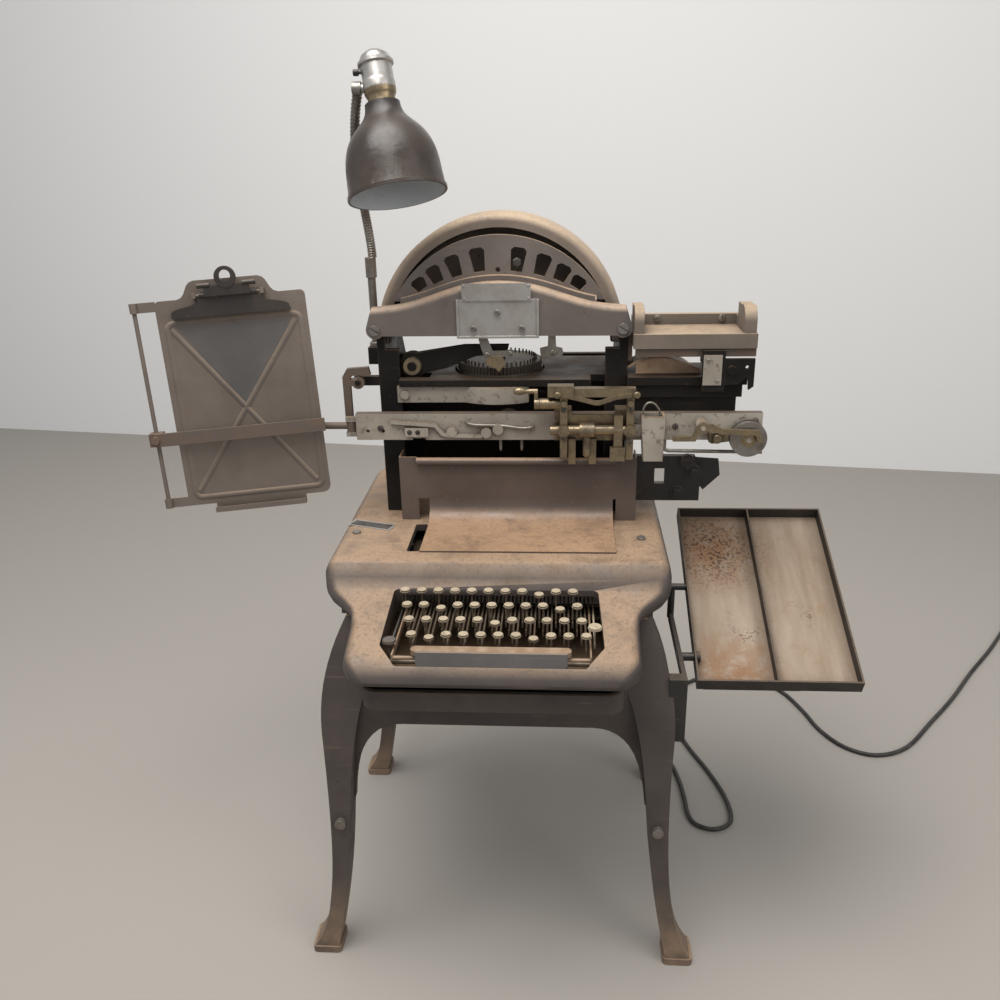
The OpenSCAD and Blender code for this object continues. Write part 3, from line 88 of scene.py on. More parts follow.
def ranged(tree, value, low, high):
    inputs = {"Value": value, "From Min": 0.3, "From Max": 0.7, "To Min": low, "To Max": high}
    return add(tree, "ShaderNodeMapRange", inputs).outputs[0]


def mixed(tree, share, first, second):
    blend = add(tree, "ShaderNodeMix", {0: share, 6: first, 7: second}, data_type="RGBA")
    return blend.outputs[2]


def times(tree, first, second):
    return add(tree, "ShaderNodeMath", {0: first, 1: second}, operation="MULTIPLY").outputs[0]


def noise(tree, where, scale, detail=3.0, rough=0.55):
    inputs = {"Vector": where, "Scale": scale, "Detail": detail, "Roughness": rough}
    return add(tree, "ShaderNodeTexNoise", inputs).outputs["Fac"]


def bumped(tree, shader, height, strength, distance):
    bump = add(tree, "ShaderNodeBump", {"Height": height, "Strength": strength, "Distance": distance})
    tree.links.new(bump.outputs["Normal"], shader.inputs["Normal"])


def scuffed_finish(name, fresh, scuffed):
    finish, tree, shader = new_finish(name)
    where = add(tree, "ShaderNodeTexCoord").outputs["Object"]
    scuffs = spread(tree, noise(tree, where, 60, 5), 0.4, 0.75)
    tree.links.new(mixed(tree, scuffs, fresh, scuffed), shader.inputs["Base Color"])
    tree.links.new(ranged(tree, scuffs, 0.5, 0.7), shader.inputs["Roughness"])
    bumped(tree, shader, noise(tree, where, 500, 2), 0.15, 0.0004)
    return finish


cord_rubber = scuffed_finish("cord_rubber", (0.016, 0.015, 0.014, 1), (0.06, 0.055, 0.05, 1))
cord_d = 0.009
lay_z = cord_d / 2 + 0.0002
coil_turns = 2
coil_pitch = 1.25 * cord_d
coil_rise = 1.15 * cord_d
coil_out = 5.5 * cord_d + coil_pitch * coil_turns / 2
coil_total = 2 * coil_turns + 0.4
coil_at = (1.440, 0.925)
coil_start = 127
gland = Vector((0.150, 0.330 - 0.040 * (1 - math.cos(math.radians(18))), 0.648))
hanging = (
    (0.1505, 0.4145, 0.6425), (0.1515, 0.4335, 0.6230), (0.1535, 0.4420, 0.5950), (0.158, 0.450, 0.520),
    (0.166, 0.452, 0.380), (0.176, 0.446, 0.220), (0.188, 0.436, 0.100), (0.208, 0.414, 0.030),
)
lying = (
    (0.244, 0.380), (0.296, 0.340), (0.342, 0.284), (0.358, 0.212), (0.3625, 0.155), (0.3645, 0.107),
    (0.3764, 0.0772), (0.408, 0.0635), (0.439, 0.0763), (0.452, 0.107), (0.447, 0.170), (0.424, 0.250),
    (0.392, 0.335), (0.368, 0.425), (0.372, 0.520), (0.420, 0.600), (0.504, 0.640), (0.590, 0.630),
    (0.650, 0.572), (0.684, 0.490), (0.706, 0.410), (0.746, 0.346), (0.808, 0.319), (0.884, 0.350),
    (0.972, 0.449), (1.060, 0.552), (1.151, 0.672), (1.236, 0.776), (1.296, 0.856), (1.327, 0.900),
)
way = [gland + Vector((0, s, 0)) for s in (0.040, 0.064)]
way += [Vector(point) for point in hanging]
way += [Vector((x, y, 0.005)) for x, y in lying]


def smooth(t):
    t = min(max(t, 0), 1)
    return t * t * (3 - 2 * t)


def coil_point(t):
    s = t - coil_total / 2
    r = coil_out - coil_pitch * coil_turns + coil_pitch * max(abs(s) - 0.25, 0)
    a = math.radians(coil_start - 360 * t)
    z = lay_z + coil_rise * smooth((s + 0.25) / 0.5)
    return Vector((coil_at[0] + r * math.cos(a), coil_at[1] + r * math.sin(a), z))


def catmull(points, i, t):
    last = len(points) - 1
    a, b, c, d = (points[min(max(k, 0), last)] for k in (i - 1, i, i + 1, i + 2))
    turn = (2 * a - 5 * b + 4 * c - d) * t * t + (3 * b - a - 3 * c + d) * t * t * t
    point = 0.5 * (2 * b + (c - a) * t + turn)
    return Vector((point.x, point.y, max(point.z, lay_z)))


lead = (coil_point(0.02) - coil_point(0)).normalized()
way += [coil_point(0) - s * lead for s in (0.066, 0.042, 0.018)]
line = [catmull(way, i, k / 4) for i in range(len(way) - 1) for k in range(4)] + [way[-1]]
line += [coil_point(0) - 0.009 * lead]
line += [coil_point(i / 36) for i in range(int(36 * coil_total) + 1)]
tail = (coil_point(coil_total) - coil_point(coil_total - 0.02)).normalized()
for k in range(1, 7):
    line.append(coil_point(coil_total) + tail * k * 0.016 - Vector((0, 0, coil_rise * smooth(k / 4))))

flex = bpy.data.curves.new("mains_cord", "CURVE")
flex.dimensions = "3D"
flex.bevel_depth = cord_d / 2
flex.bevel_resolution = 3
flex.use_fill_caps = True
spline = flex.splines.new("POLY")
spline.points.add(len(line) - 1)
for point, place in zip(spline.points, line):
    point.co = (*place, 1)
flex.materials.append(cord_rubber)
cord = bpy.data.objects.new("mains_cord", flex)
bpy.context.collection.objects.link(cord)
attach(cord, "machine_frame")
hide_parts("cord_run", "cord_coil")


# Gland, plug and tie: moulded rubber, the gland ribbed by its mould and pressed into the base.
# The coil is held by a twist of dark wire bound twice round all its turns.
owner = {}
for body, members in frame["record"]["behaviour"]["bodies"].items():
    for member in members:
        owner[member] = body


def only(piece):
    bpy.ops.object.select_all(action="DESELECT")
    piece.select_set(True)
    bpy.context.view_layer.objects.active = piece


def coated(piece, width, finish, angle):
    only(piece)
    finish = finish if isinstance(finish, tuple) else (finish,)
    piece.data.materials.clear()
    for coat in finish:
        piece.data.materials.append(coat)
    if width:
        bevel = piece.modifiers.new("edges", "BEVEL")
        bevel.width = width
        bevel.segments = 2
        bevel.limit_method = "ANGLE"
        bevel.angle_limit = math.radians(angle)
        bevel.material = len(finish) - 1
        bpy.ops.object.modifier_apply(modifier=bevel.name)
    bpy.ops.object.shade_smooth_by_angle(angle=math.radians(angle))
    flat = piece.modifiers.new("flat_faces", "WEIGHTED_NORMAL")
    flat.keep_sharp = True
    bpy.ops.object.modifier_apply(modifier=flat.name)


def merged(node):
    piece = bpy.data.objects.new(node + "_eased", frame["nodes"][node].data.copy())
    bpy.context.collection.objects.link(piece)
    only(piece)
    bpy.ops.object.mode_set(mode="EDIT")
    bpy.ops.mesh.select_all(action="SELECT")
    bpy.ops.mesh.remove_doubles(threshold=0.00002)
    bpy.ops.mesh.dissolve_limited(angle_limit=math.radians(0.5))
    bpy.ops.mesh.select_all(action="DESELECT")
    bpy.ops.object.mode_set(mode="OBJECT")
    return piece


def eased(node, width, finish, angle=38, piece=None):
    piece = piece or merged(node)
    coated(piece, width, finish, angle)
    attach(piece, owner[node])
    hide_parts(node)
    return piece


def bevel_edges(piece, chosen, offset, segments):
    only(piece)
    sides = {}
    for face in piece.data.polygons:
        for key in face.edge_keys:
            sides.setdefault(key, []).append(face.normal.copy())
    for part in list(piece.data.vertices) + list(piece.data.polygons):
        part.select = False
    for edge in piece.data.edges:
        ends = [piece.data.vertices[v].co for v in edge.vertices]
        edge.select = chosen(ends, sides[tuple(sorted(edge.vertices))])
    bpy.ops.object.mode_set(mode="EDIT")
    bpy.ops.mesh.select_mode(type="EDGE")
    bpy.ops.mesh.bevel(offset=offset, segments=segments, affect="EDGES")
    bpy.ops.object.mode_set(mode="OBJECT")


def fitted(piece, name, node, finish, width=0.0006, angle=38):
    only(piece)
    bpy.ops.object.transform_apply(location=True, rotation=True, scale=True)
    piece.name = name
    coated(piece, width, finish, angle)
    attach(piece, owner[node])
    return piece


def joined(pieces):
    only(pieces[0])
    for piece in pieces:
        piece.select_set(True)
    bpy.ops.object.join()
    return bpy.context.object


def wire(points, radius, closed=False, bend="AUTO"):
    path = bpy.data.curves.new("bent_wire", "CURVE")
    path.dimensions = "3D"
    path.bevel_depth = radius
    path.bevel_resolution = 3
    path.resolution_u = 6
    path.use_fill_caps = not closed
    run = path.splines.new("BEZIER")
    run.bezier_points.add(len(points) - 1)
    run.use_cyclic_u = closed
    for knot, place in zip(run.bezier_points, points):
        knot.co = place
        knot.handle_left_type = bend
        knot.handle_right_type = bend
    piece = bpy.data.objects.new("bent_wire", path)
    bpy.context.collection.objects.link(piece)
    only(piece)
    bpy.ops.object.convert(target="MESH")
    return bpy.context.object


eased("cord_gland", 0.0006, cord_rubber)
plug = eased("cord_plug", 0.0008, cord_rubber)
tie_r = 0.0008
bundle_mid = coil_out - coil_pitch * coil_turns / 2
bundle_half = coil_pitch * coil_turns / 2 + cord_d / 2 + tie_r
bundle_rise = (coil_rise + cord_d) / 2


def bulge(value):
    return math.copysign(math.sqrt(abs(value)), value)


binding = []
for turn in (58, 63):
    a = math.radians(turn)
    spoke = Vector((math.cos(a), math.sin(a), 0))
    loop = []
    for k in range(16):
        b = math.radians(22.5 * k)
        aside = bundle_mid + bundle_half * bulge(math.cos(b))
        height = tie_r + bundle_rise * (1 + bulge(math.sin(b)))
        loop.append(Vector((*coil_at, height)) + spoke * aside)
    binding.append(wire(loop, tie_r, True))
tie = fitted(joined(binding), "coil_tie", "cord_coil", cord_rubber, 0)


# Stand: four legs and four aprons, grey iron castings under a warm grey-brown enamel.
# Dust lies on what faces up, edges are rubbed to the iron, and grime and painted shade darken the corners.
def enamel(
    name, paint, shade, dust, dust_share, bare, rough=0.55, wear=0.8, chips=(0.64, 0.68), gloss=0.5,
    settle=(0.3, 0.95), feet=0.0,
):
    coats = []
    for coat, rubbing in ((name, 0.0), (name + "_rubbed", wear)):
        finish, tree, shader = new_finish(coat)
        coord = add(tree, "ShaderNodeTexCoord")
        where = coord.outputs["Object"]
        cloud = noise(tree, where, 6, 6, 0.6)
        patch = noise(tree, where, 21, 5, 0.65)
        grit = noise(tree, where, 190, 4, 0.6)
        colour = mixed(tree, spread(tree, cloud, 0.36, 0.66), paint, shade)
        chip = spread(tree, noise(tree, where, 75, 5, 0.7), *chips)
        colour = mixed(tree, times(tree, chip, 0.7), colour, bare)
        up = add(tree, "ShaderNodeSeparateXYZ", {0: coord.outputs["Normal"]}).outputs["Z"]
        film = times(tree, spread(tree, patch, 0.0, 0.5), spread(tree, grit, 0.1, 0.48))
        lying_dust = times(tree, spread(tree, up, *settle), film)
        colour = mixed(tree, times(tree, lying_dust, dust_share), colour, dust)
        wiped = spread(tree, noise(tree, where, 15, 9, 0.72), 0.5, 0.72)
        colour = mixed(tree, times(tree, wiped, 0.45), colour, paint)
        if feet:
            height = add(tree, "ShaderNodeSeparateXYZ", {0: where}).outputs["Z"]
            kicked = times(tree, spread(tree, height, 0.16, 0.03), spread(tree, patch, 0.2, 0.6))
            colour = mixed(tree, times(tree, kicked, feet), colour, dust)
        inputs = {"Vector": where, "Rotation": (0.4, 0.2, 0.5), "Scale": (9, 130, 130)}
        along = add(tree, "ShaderNodeMapping", inputs).outputs[0]
        scratch = spread(tree, noise(tree, along, 1, 2, 0.5), 0.68, 0.78)
        colour = mixed(tree, times(tree, scratch, 0.16), colour, dust)
        if rubbing:
            rubbed = times(tree, spread(tree, patch, 0.38, 0.56), rubbing)
            colour = mixed(tree, rubbed, colour, bare)
        # Corners and creases are darkened towards near-black by ambient occlusion: grime and painted shade.
        inputs = {"Distance": 0.022}
        open_air = add(tree, "ShaderNodeAmbientOcclusion", inputs, samples=3, only_local=True).outputs["AO"]
        grime_and_shade = times(tree, spread(tree, open_air, 0.8, 0.35), 0.65)
        colour = mixed(tree, grime_and_shade, colour, (0.03, 0.025, 0.02, 1))
        shader.inputs["Specular IOR Level"].default_value = gloss
        tree.links.new(colour, shader.inputs["Base Color"])
        tree.links.new(ranged(tree, patch, rough - 0.1, min(rough + 0.22, 1)), shader.inputs["Roughness"])
        bumped(tree, shader, grit, 0.2, 0.0012)
        coats.append(finish)
    return tuple(coats)


tan_dust = (0.345, 0.232, 0.146, 1)
worn_iron = (0.034, 0.026, 0.021, 1)
stand_enamel = enamel(
    "stand_enamel", (0.048, 0.037, 0.032, 1), (0.075, 0.059, 0.050, 1), tan_dust, 0.92, worn_iron,
    settle=(0.5, 1.0), feet=0.6,
)
for casting in ("front_legs", "rear_legs", "front_apron", "rear_side_aprons"):
    eased(casting, 0.003, stand_enamel)


# Base: one iron casting with the deck, the shoulders and the nose round the keyboard, and the
# pan bolted under it. A bare tin plate is riveted to the deck's left side. A dark bar on two rods
# under the deck's slot is painted shade for what is seen through the slot.
def cut_plate(corners, push):
    bpy.ops.object.select_all(action="DESELECT")
    bpy.ops.mesh.primitive_circle_add(vertices=len(corners), fill_type="NGON")
    piece = bpy.context.object
    for vertex, corner in zip(piece.data.vertices, corners):
        vertex.co = corner
    bpy.ops.object.mode_set(mode="EDIT")
    bpy.ops.mesh.select_all(action="SELECT")
    bpy.ops.mesh.extrude_region_move(TRANSFORM_OT_translate={"value": push})
    bpy.ops.mesh.select_all(action="SELECT")
    bpy.ops.mesh.normals_make_consistent(inside=False)
    bpy.ops.object.mode_set(mode="OBJECT")
    return piece


def turned(steps, place, aim, sides=24):
    bpy.ops.object.select_all(action="DESELECT")
    radius, height = steps[0]
    bpy.ops.mesh.primitive_circle_add(vertices=sides, radius=radius, fill_type="NGON")
    piece = bpy.context.object
    bpy.ops.object.mode_set(mode="EDIT")
    bpy.ops.mesh.select_all(action="SELECT")
    for next_radius, next_height in steps[1:]:
        rise = (0, 0, next_height - height)
        bpy.ops.mesh.extrude_region_move(TRANSFORM_OT_translate={"value": rise})
        share = next_radius / radius
        bpy.ops.transform.resize(value=(share, share, 1), center_override=(0, 0, next_height))
        radius, height = next_radius, next_height
    bpy.ops.mesh.select_all(action="SELECT")
    bpy.ops.mesh.normals_make_consistent(inside=False)
    bpy.ops.object.mode_set(mode="OBJECT")
    turn = Vector(aim).to_track_quat("Z", "Y").to_matrix().to_4x4()
    piece.matrix_world = Matrix.Translation(place) @ turn
    bpy.ops.object.transform_apply(location=True, rotation=True, scale=True)
    return piece


def retone(piece, finish, chosen):
    piece.data.materials.append(finish[0] if isinstance(finish, tuple) else finish)
    last = len(piece.data.materials) - 1
    for face in piece.data.polygons:
        if chosen(face.center, face.normal):
            face.material_index = last


def bare_metal(name, clean, stain, stain_share, rough, metallic=0.9, grain=0.12, grain_size=330):
    finish, tree, shader = new_finish(name)
    where = add(tree, "ShaderNodeTexCoord").outputs["Object"]
    cloud = noise(tree, where, 26, 6, 0.65)
    fine = noise(tree, where, grain_size, 3)
    share = times(tree, spread(tree, cloud, 0.42, 0.62), stain_share)
    colour = mixed(tree, share, clean, stain)
    # Hollows and gaps are darkened towards near-black by ambient occlusion: painted shade.
    open_air = add(tree, "ShaderNodeAmbientOcclusion", {"Distance": 0.012}, samples=3, only_local=True)
    deep = times(tree, spread(tree, open_air.outputs["AO"], 0.75, 0.3), 0.75)
    colour = mixed(tree, deep, colour, (0.025, 0.02, 0.016, 1))
    tree.links.new(colour, shader.inputs["Base Color"])
    shine = add(tree, "ShaderNodeMapRange", {"Value": share, "To Min": metallic, "To Max": metallic * 0.35})
    tree.links.new(shine.outputs[0], shader.inputs["Metallic"])
    tree.links.new(ranged(tree, fine, rough - 0.08, rough + 0.16), shader.inputs["Roughness"])
    bumped(tree, shader, fine, grain, 0.0006)
    return finish


dull_steel = bare_metal("dull_steel", (0.29, 0.27, 0.24, 1), (0.11, 0.085, 0.064, 1), 0.8, 0.4)
plate_alloy = bare_metal("plate_alloy", (0.44, 0.42, 0.39, 1), (0.25, 0.22, 0.19, 1), 0.6, 0.4, 0.7)
dark_tin = bare_metal("dark_tin", (0.055, 0.05, 0.046, 1), (0.16, 0.13, 0.10, 1), 0.6, 0.45, 0.5)
# Near-black iron. Its colour is darkened beyond the iron's own as painted shade for parts deep in the head,
# and it also serves as painted shade in the pan's gap, inside the guard and under the deck's slot.
dark_iron = enamel(
    "dark_iron", (0.007, 0.0062, 0.0057, 1), (0.018, 0.0145, 0.012, 1), (0.12, 0.082, 0.056, 1), 0.5,
    (0.080, 0.050, 0.033, 1), 0.5, 0.5, gloss=0.2,
)

eased("base_housing", 0.0025, stand_enamel, 46)
pan = merged("keyboard_pan")
gap_high = 0.018
gap_deep = 0.009
gap_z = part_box("keyboard_pan")[1].z - gap_high
only(pan)
bpy.ops.object.mode_set(mode="EDIT")
bpy.ops.mesh.select_all(action="SELECT")
bpy.ops.mesh.bisect(plane_co=(0, 0, gap_z), plane_no=(0, 0, 1))
bpy.ops.mesh.select_all(action="DESELECT")
bpy.ops.object.mode_set(mode="OBJECT")
for face in pan.data.polygons:
    outer = Vector((face.center.x, face.center.y + 0.1, 0)).dot(face.normal) > 0
    face.select = face.center.z > gap_z and abs(face.normal.z) < 0.5 and outer
bpy.ops.object.mode_set(mode="EDIT")
bpy.ops.mesh.select_mode(type="FACE")
bpy.ops.mesh.extrude_region_shrink_fatten(TRANSFORM_OT_shrink_fatten={"value": -gap_deep})
bpy.ops.object.mode_set(mode="OBJECT")
eased("keyboard_pan", 0.0012, stand_enamel, piece=pan)
# The pushed-in band at the pan's top is coated near-black: painted shade of the gap under the nose.
retone(pan, dark_iron, lambda centre, normal: centre.z > gap_z + 0.0006 and abs(normal.z) < 0.9)


def level(z, *points):
    return [Vector((x, y, z)) / 1000 for x, y in points]


deck_plate = cut_plate(level(690, (-272, 12), (-261, 36), (-184, 12), (-192, -14)), (0, 0, 0.0012))
fitted(deck_plate, "deck_plate", "base_housing", plate_alloy, 0.0004)
deck_panel = cut_plate(level(691.1, (-266, 13), (-258, 30), (-190, 9), (-196, -9)), (0, 0, 0.0005))
fitted(deck_panel, "deck_plate_panel", "base_housing", dark_tin, 0.0002)
# A dark bar under the slot, there as painted shade: it darkens what is seen through the slot.
slot_shade_bar = cut_plate(level(650, (-172, -50), (-130, -50), (-130, 112), (-172, 112)), (0, 0, 0.006))
rod_steps = [(0.004, 0), (0.004, 0.023)]
hangers = [turned(rod_steps, (-0.151, y, 0.6555), (0, 0, 1), 12) for y in (-0.041, 0.103)]
fitted(joined([slot_shade_bar] + hangers), "slot_shade_bar", "base_housing", dark_iron, 0.0006)
eased("screws_and_bolts", 0.0006, dull_steel)


# Keyboard: flat steel levers on one pivot rod, wire stems and round pressed key tops in aged
# cream. The frame holds cheeks, cross bars and a pale front plate behind the space bar.
lever_steel = bare_metal("lever_steel", (0.20, 0.158, 0.115, 1), (0.115, 0.075, 0.048, 1), 0.8, 0.5, 0.6)
key_cream = enamel(
    "key_cream", (0.33, 0.272, 0.19, 1), (0.50, 0.43, 0.32, 1), (0.44, 0.355, 0.25, 1), 0.4,
    (0.12, 0.085, 0.055, 1), 0.42, chips=(0.55, 0.66)
)
key_rim = bare_metal("key_rim", (0.21, 0.165, 0.115, 1), (0.09, 0.065, 0.045, 1), 0.8, 0.45, 0.5)
pale_grey = enamel(
    "pale_grey", (0.125, 0.120, 0.115, 1), (0.185, 0.175, 0.165, 1), tan_dust, 0.5, (0.07, 0.05, 0.036, 1)
)
row_top = {"key_row_1": 0.665, "key_row_2": 0.654, "key_row_3": 0.643, "key_row_4": 0.632}
key_pitch = 0.026
cap_deep = 0.0115
crown_deep = 0.0075
stem_r = 0.0018
front_plate_y = -0.3048
for row, top in row_top.items():
    keys = eased(row, 0.0004, lever_steel)
    caps = [face for face in keys.data.polygons if face.normal.z > 0.95 and face.center.z > top - 0.0008]
    axis = max(caps, key=lambda face: face.area).center.copy()

    def on_cap(centre, normal):
        aside = (centre.x - axis.x + key_pitch / 2) % key_pitch - key_pitch / 2
        return centre.z > top - cap_deep and math.hypot(aside, centre.y - axis.y) > stem_r

    def cap_top(centre, normal):
        return normal.z > 0.35 and centre.z > top - crown_deep

    retone(keys, key_rim, on_cap)
    retone(keys, key_cream, cap_top)
eased("shift_key_left", 0.0005, dull_steel)
eased("shift_key_right", 0.0005, key_cream)
bar_wood = scuffed_finish("bar_wood", (0.25, 0.165, 0.105, 1), (0.34, 0.25, 0.17, 1))
eased("space_bar", 0.0015, bar_wood)
key_frame = eased("keyboard_frame", 0.0006, lever_steel)
retone(key_frame, pale_grey, lambda centre, normal: centre.y < front_plate_y)


# Drive inside the base: a black motor, its belt and pulley, and a heavy iron flywheel.
# They are seen only from behind and below.
black_enamel = enamel(
    "black_enamel", (0.010, 0.0095, 0.009, 1), (0.022, 0.019, 0.017, 1), (0.16, 0.12, 0.085, 1), 0.4,
    (0.085, 0.055, 0.038, 1), 0.4
)
eased("motor", 0.001, black_enamel)
eased("motor_pulley", 0.0005, dull_steel)
eased("flywheel", 0.0012, dark_iron)
eased("drive_belt", 0.0006, cord_rubber)


# Head: side frames and back plate in near-black iron, darkened further as painted shade, carry the cover,
# the vent plate and the half round guard over the drum. Its enamel is greyer than the stand's, under deep
# tan dust.
head_enamel = enamel(
    "head_enamel", (0.120, 0.098, 0.086, 1), (0.178, 0.148, 0.129, 1), (0.39, 0.275, 0.185, 1), 0.95,
    worn_iron, 0.45, settle=(0.12, 0.62),
)
dusty_enamel = enamel(
    "dusty_enamel", (0.150, 0.115, 0.090, 1), (0.235, 0.185, 0.145, 1), (0.42, 0.315, 0.215, 1), 0.95,
    worn_iron, 0.6, 0.4, settle=(0.0, 0.7),
)
for casting in ("side_frame_left", "side_frame_right", "back_plate"):
    eased(casting, 0.0015, dark_iron)
cover = merged("head_cover")
bpy.ops.object.mode_set(mode="EDIT")
bpy.ops.mesh.select_all(action="SELECT")
bpy.ops.mesh.remove_doubles(threshold=0.0026)
bpy.ops.mesh.select_all(action="DESELECT")
bpy.ops.object.mode_set(mode="OBJECT")
front_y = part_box("head_cover")[0].y


def crown_edge(ends, sides):
    at_front = all(end.y < front_y + 0.0001 for end in ends)
    return at_front and any(side.z > 0.5 for side in sides) and any(side.y < -0.9 for side in sides)


bevel_edges(cover, crown_edge, 0.013, 5)
eased("head_cover", 0.002, head_enamel, piece=cover)
eased("vent_plate", 0.002, head_enamel)
guard = eased("rim_guard", 0.002, dusty_enamel)
guard_axis = Vector((-0.004, 0, 0.989))
guard_bore = 0.192


def guard_inside(centre, normal):
    out = Vector((centre.x - guard_axis.x, 0, centre.z - guard_axis.z))
    return out.length < guard_bore and out.dot(normal) < -0.3 * out.length


# The guard's inner faces are coated near-black: painted shade under the hood.
retone(guard, dark_iron, guard_inside)
bolt_steps = [(0.0078, 0), (0.0078, 0.005), (0.006, 0.0064)]
vent_bolt = turned(bolt_steps, (0.0277, 0.0951, 1.124), (0, -1, 0), 6)
fitted(vent_bolt, "vent_bolt", "vent_plate", dark_tin, 0.0003)


# Guard plate and bare plate: a folded steel guard held by slotted screws, and above it a blank
# aluminium plate with four rivets.
def front(y, *points):
    return [Vector((x, y, z)) / 1000 for x, z in points]


eased("guard_plate", 0.0005, plate_alloy)
bare_plate = cut_plate(front(61.9, (-62, 1067), (51, 1067), (51, 1095), (-62, 1095)), (0, -0.0012, 0))
rivets = [
    turned([(0.0022, 0), (0.0020, 0.0006), (0.0011, 0.0011)], place, (0, -1, 0), 12)
    for place in front(60.7, (-58, 1071), (47, 1071), (47, 1091), (-58, 1091))
]
fitted(joined([bare_plate] + rivets), "bare_plate", "head_cover", plate_alloy, 0.0003)


# Die drum: a stack of toothed discs on a spindle, the middle one a brass band of blank type
# slugs, with a crown of short pins on top. It sits in the hole of the die shelf, near-black iron darkened
# as painted shade.
old_brass = bare_metal("old_brass", (0.32, 0.25, 0.155, 1), (0.075, 0.055, 0.038, 1), 0.85, 0.34)
drum_metal = bare_metal("drum_metal", (0.13, 0.105, 0.078, 1), (0.04, 0.032, 0.026, 1), 0.8, 0.45)
cream_paint = enamel(
    "cream_paint", (0.24, 0.208, 0.168, 1), (0.38, 0.34, 0.285, 1), (0.17, 0.105, 0.06, 1), 0.85,
    (0.085, 0.05, 0.03, 1), 0.5, chips=(0.56, 0.66),
)
eased("die_shelf", 0.0012, dark_iron)
eased("index_bar", 0.001, cream_paint)
eased("die_drum", 0, drum_metal)
drum_axis = Vector((-0.008, 0.152, 0))


def ringed(piece, count):
    copies = [piece]
    for k in range(1, count):
        copy = bpy.data.objects.new(piece.name, piece.data.copy())
        bpy.context.collection.objects.link(copy)
        spin = Matrix.Rotation(2 * math.pi * k / count, 4, "Z")
        copy.matrix_world = Matrix.Translation(drum_axis) @ spin @ Matrix.Translation(-drum_axis)
        copies.append(copy)
    bpy.ops.object.select_all(action="DESELECT")
    for copy in copies:
        copy.select_set(True)
    bpy.context.view_layer.objects.active = piece
    bpy.ops.object.transform_apply(location=True, rotation=True, scale=True)
    return joined(copies)


pin_steps = [(0.0015, 0), (0.0015, 0.0055), (0.0009, 0.0066)]
pin = turned(pin_steps, drum_axis + Vector((0.064, 0, 0.9508)), (0, 0, 1), 8)
fitted(ringed(pin, 48), "drum_pins", "die_drum", drum_metal, 0)
slug_steps = [(0.0030, 0), (0.0030, 0.0012), (0.0021, 0.0017)]
slug = turned(slug_steps, drum_axis + Vector((0.0757, 0, 0.932)), (1, 0, 0), 4)
fitted(ringed(slug, 56), "type_slugs", "die_drum", old_brass, 0)


# Ram lever over the drum, with a brass bush on its pin, a pressed steel pointer bracket and a
# small clamp plate, both hung by screws from the underside of the head cover.
ram = eased("ram_lever", 0.0015, dark_iron)
bush_x = -0.154
bush_z = 0.953
bush_r = 0.017
bush_back = 0.0935


def on_bush(centre, normal):
    return centre.y < bush_back and math.hypot(centre.x - bush_x, centre.z - bush_z) < bush_r


retone(ram, old_brass, on_bush)


def small_screw(radius, place, aim=(0, -1, 0)):
    steps = [(radius, 0), (radius, 0.45 * radius), (0.6 * radius, 0.7 * radius)]
    head = turned(steps, (0, 0, 0), (0, 0, 1), 16)
    bpy.ops.object.select_all(action="DESELECT")
    bpy.ops.mesh.primitive_cube_add(size=1, location=(0, 0, 0.7 * radius))
    blade = bpy.context.object
    slot_turn = place[0] * 9000 % 180
    blade.rotation_euler.z = math.radians(slot_turn)
    blade.scale = (2.4 * radius, 0.26 * radius, 0.6 * radius)
    only(head)
    slot = head.modifiers.new("slot", "BOOLEAN")
    slot.object = blade
    bpy.ops.object.modifier_apply(modifier=slot.name)
    bpy.data.objects.remove(blade)
    turn = Vector(aim).to_track_quat("Z", "Y").to_matrix().to_4x4()
    head.matrix_world = Matrix.Translation(place) @ turn
    bpy.ops.object.transform_apply(location=True, rotation=True, scale=True)
    return head


pointer_arm = cut_plate(front(
    75, (-39, 1009.6), (-25, 1009.6), (-14, 982), (19, 983), (20, 972), (-28, 971), (-34, 989)
), (0, -0.003, 0))
arm_screws = [small_screw(0.0042, place) for place in front(72, (-24, 976), (15, 978))]
fitted(joined([pointer_arm] + arm_screws), "pointer_bracket", "head_cover", dull_steel, 0.0005)
pointer = cut_plate(front(
    72, (-26, 968), (-20, 974), (0, 974), (6, 967), (7, 959), (1, 953), (-4, 946), (-9, 952), (-25, 958)
), (0, -0.0025, 0))
fitted(pointer, "pointer", "head_cover", old_brass, 0.0005)
clamp_plate = cut_plate(front(
    76, (65, 986), (78, 989), (79, 1009.6), (91, 1009.6), (92, 988), (102, 986), (104, 978), (101, 970),
    (66, 973),
), (0, -0.003, 0))
clamp_screw = small_screw(0.0048, front(73, (87, 979))[0])
fitted(joined([clamp_plate, clamp_screw]), "clamp_plate", "head_cover", dull_steel, 0.0005)


# Carriage rail: a long planed bar with a slotted block, rollers and a bent rod, painted light
# and now grey, with rust along its top edge and oil stains. A spring drum hangs on its end.
rail = eased("carriage_rail", 0.001, cream_paint)
rusty_strap = bare_metal("rusty_strap", (0.122, 0.098, 0.082, 1), (0.140, 0.088, 0.057, 1), 0.8, 0.55, 0.3)
rail_top_z = 0.88
retone(rail, rusty_strap, lambda centre, normal: normal.z > 0.7 and centre.z > rail_top_z)
over_rod = wire(front(31.5, (-60, 872), (-56, 868), (0, 864), (50, 861), (56, 866)), 0.0026)
fitted(over_rod, "rail_rod", "carriage_rail", dull_steel, 0)
rod_way = front(40, (274, 840), (274, 822), (276, 819), (280, 817.5), (340, 816.5), (436, 815))
under_rod = wire(rod_way, 0.0032, bend="VECTOR")
fitted(under_rod, "under_rod", "carriage_rail", dull_steel, 0)
rail_screws = [
    small_screw(0.0052, place) for place in front(35, (-205, 859), (250, 862), (290, 862), (420, 872))
]
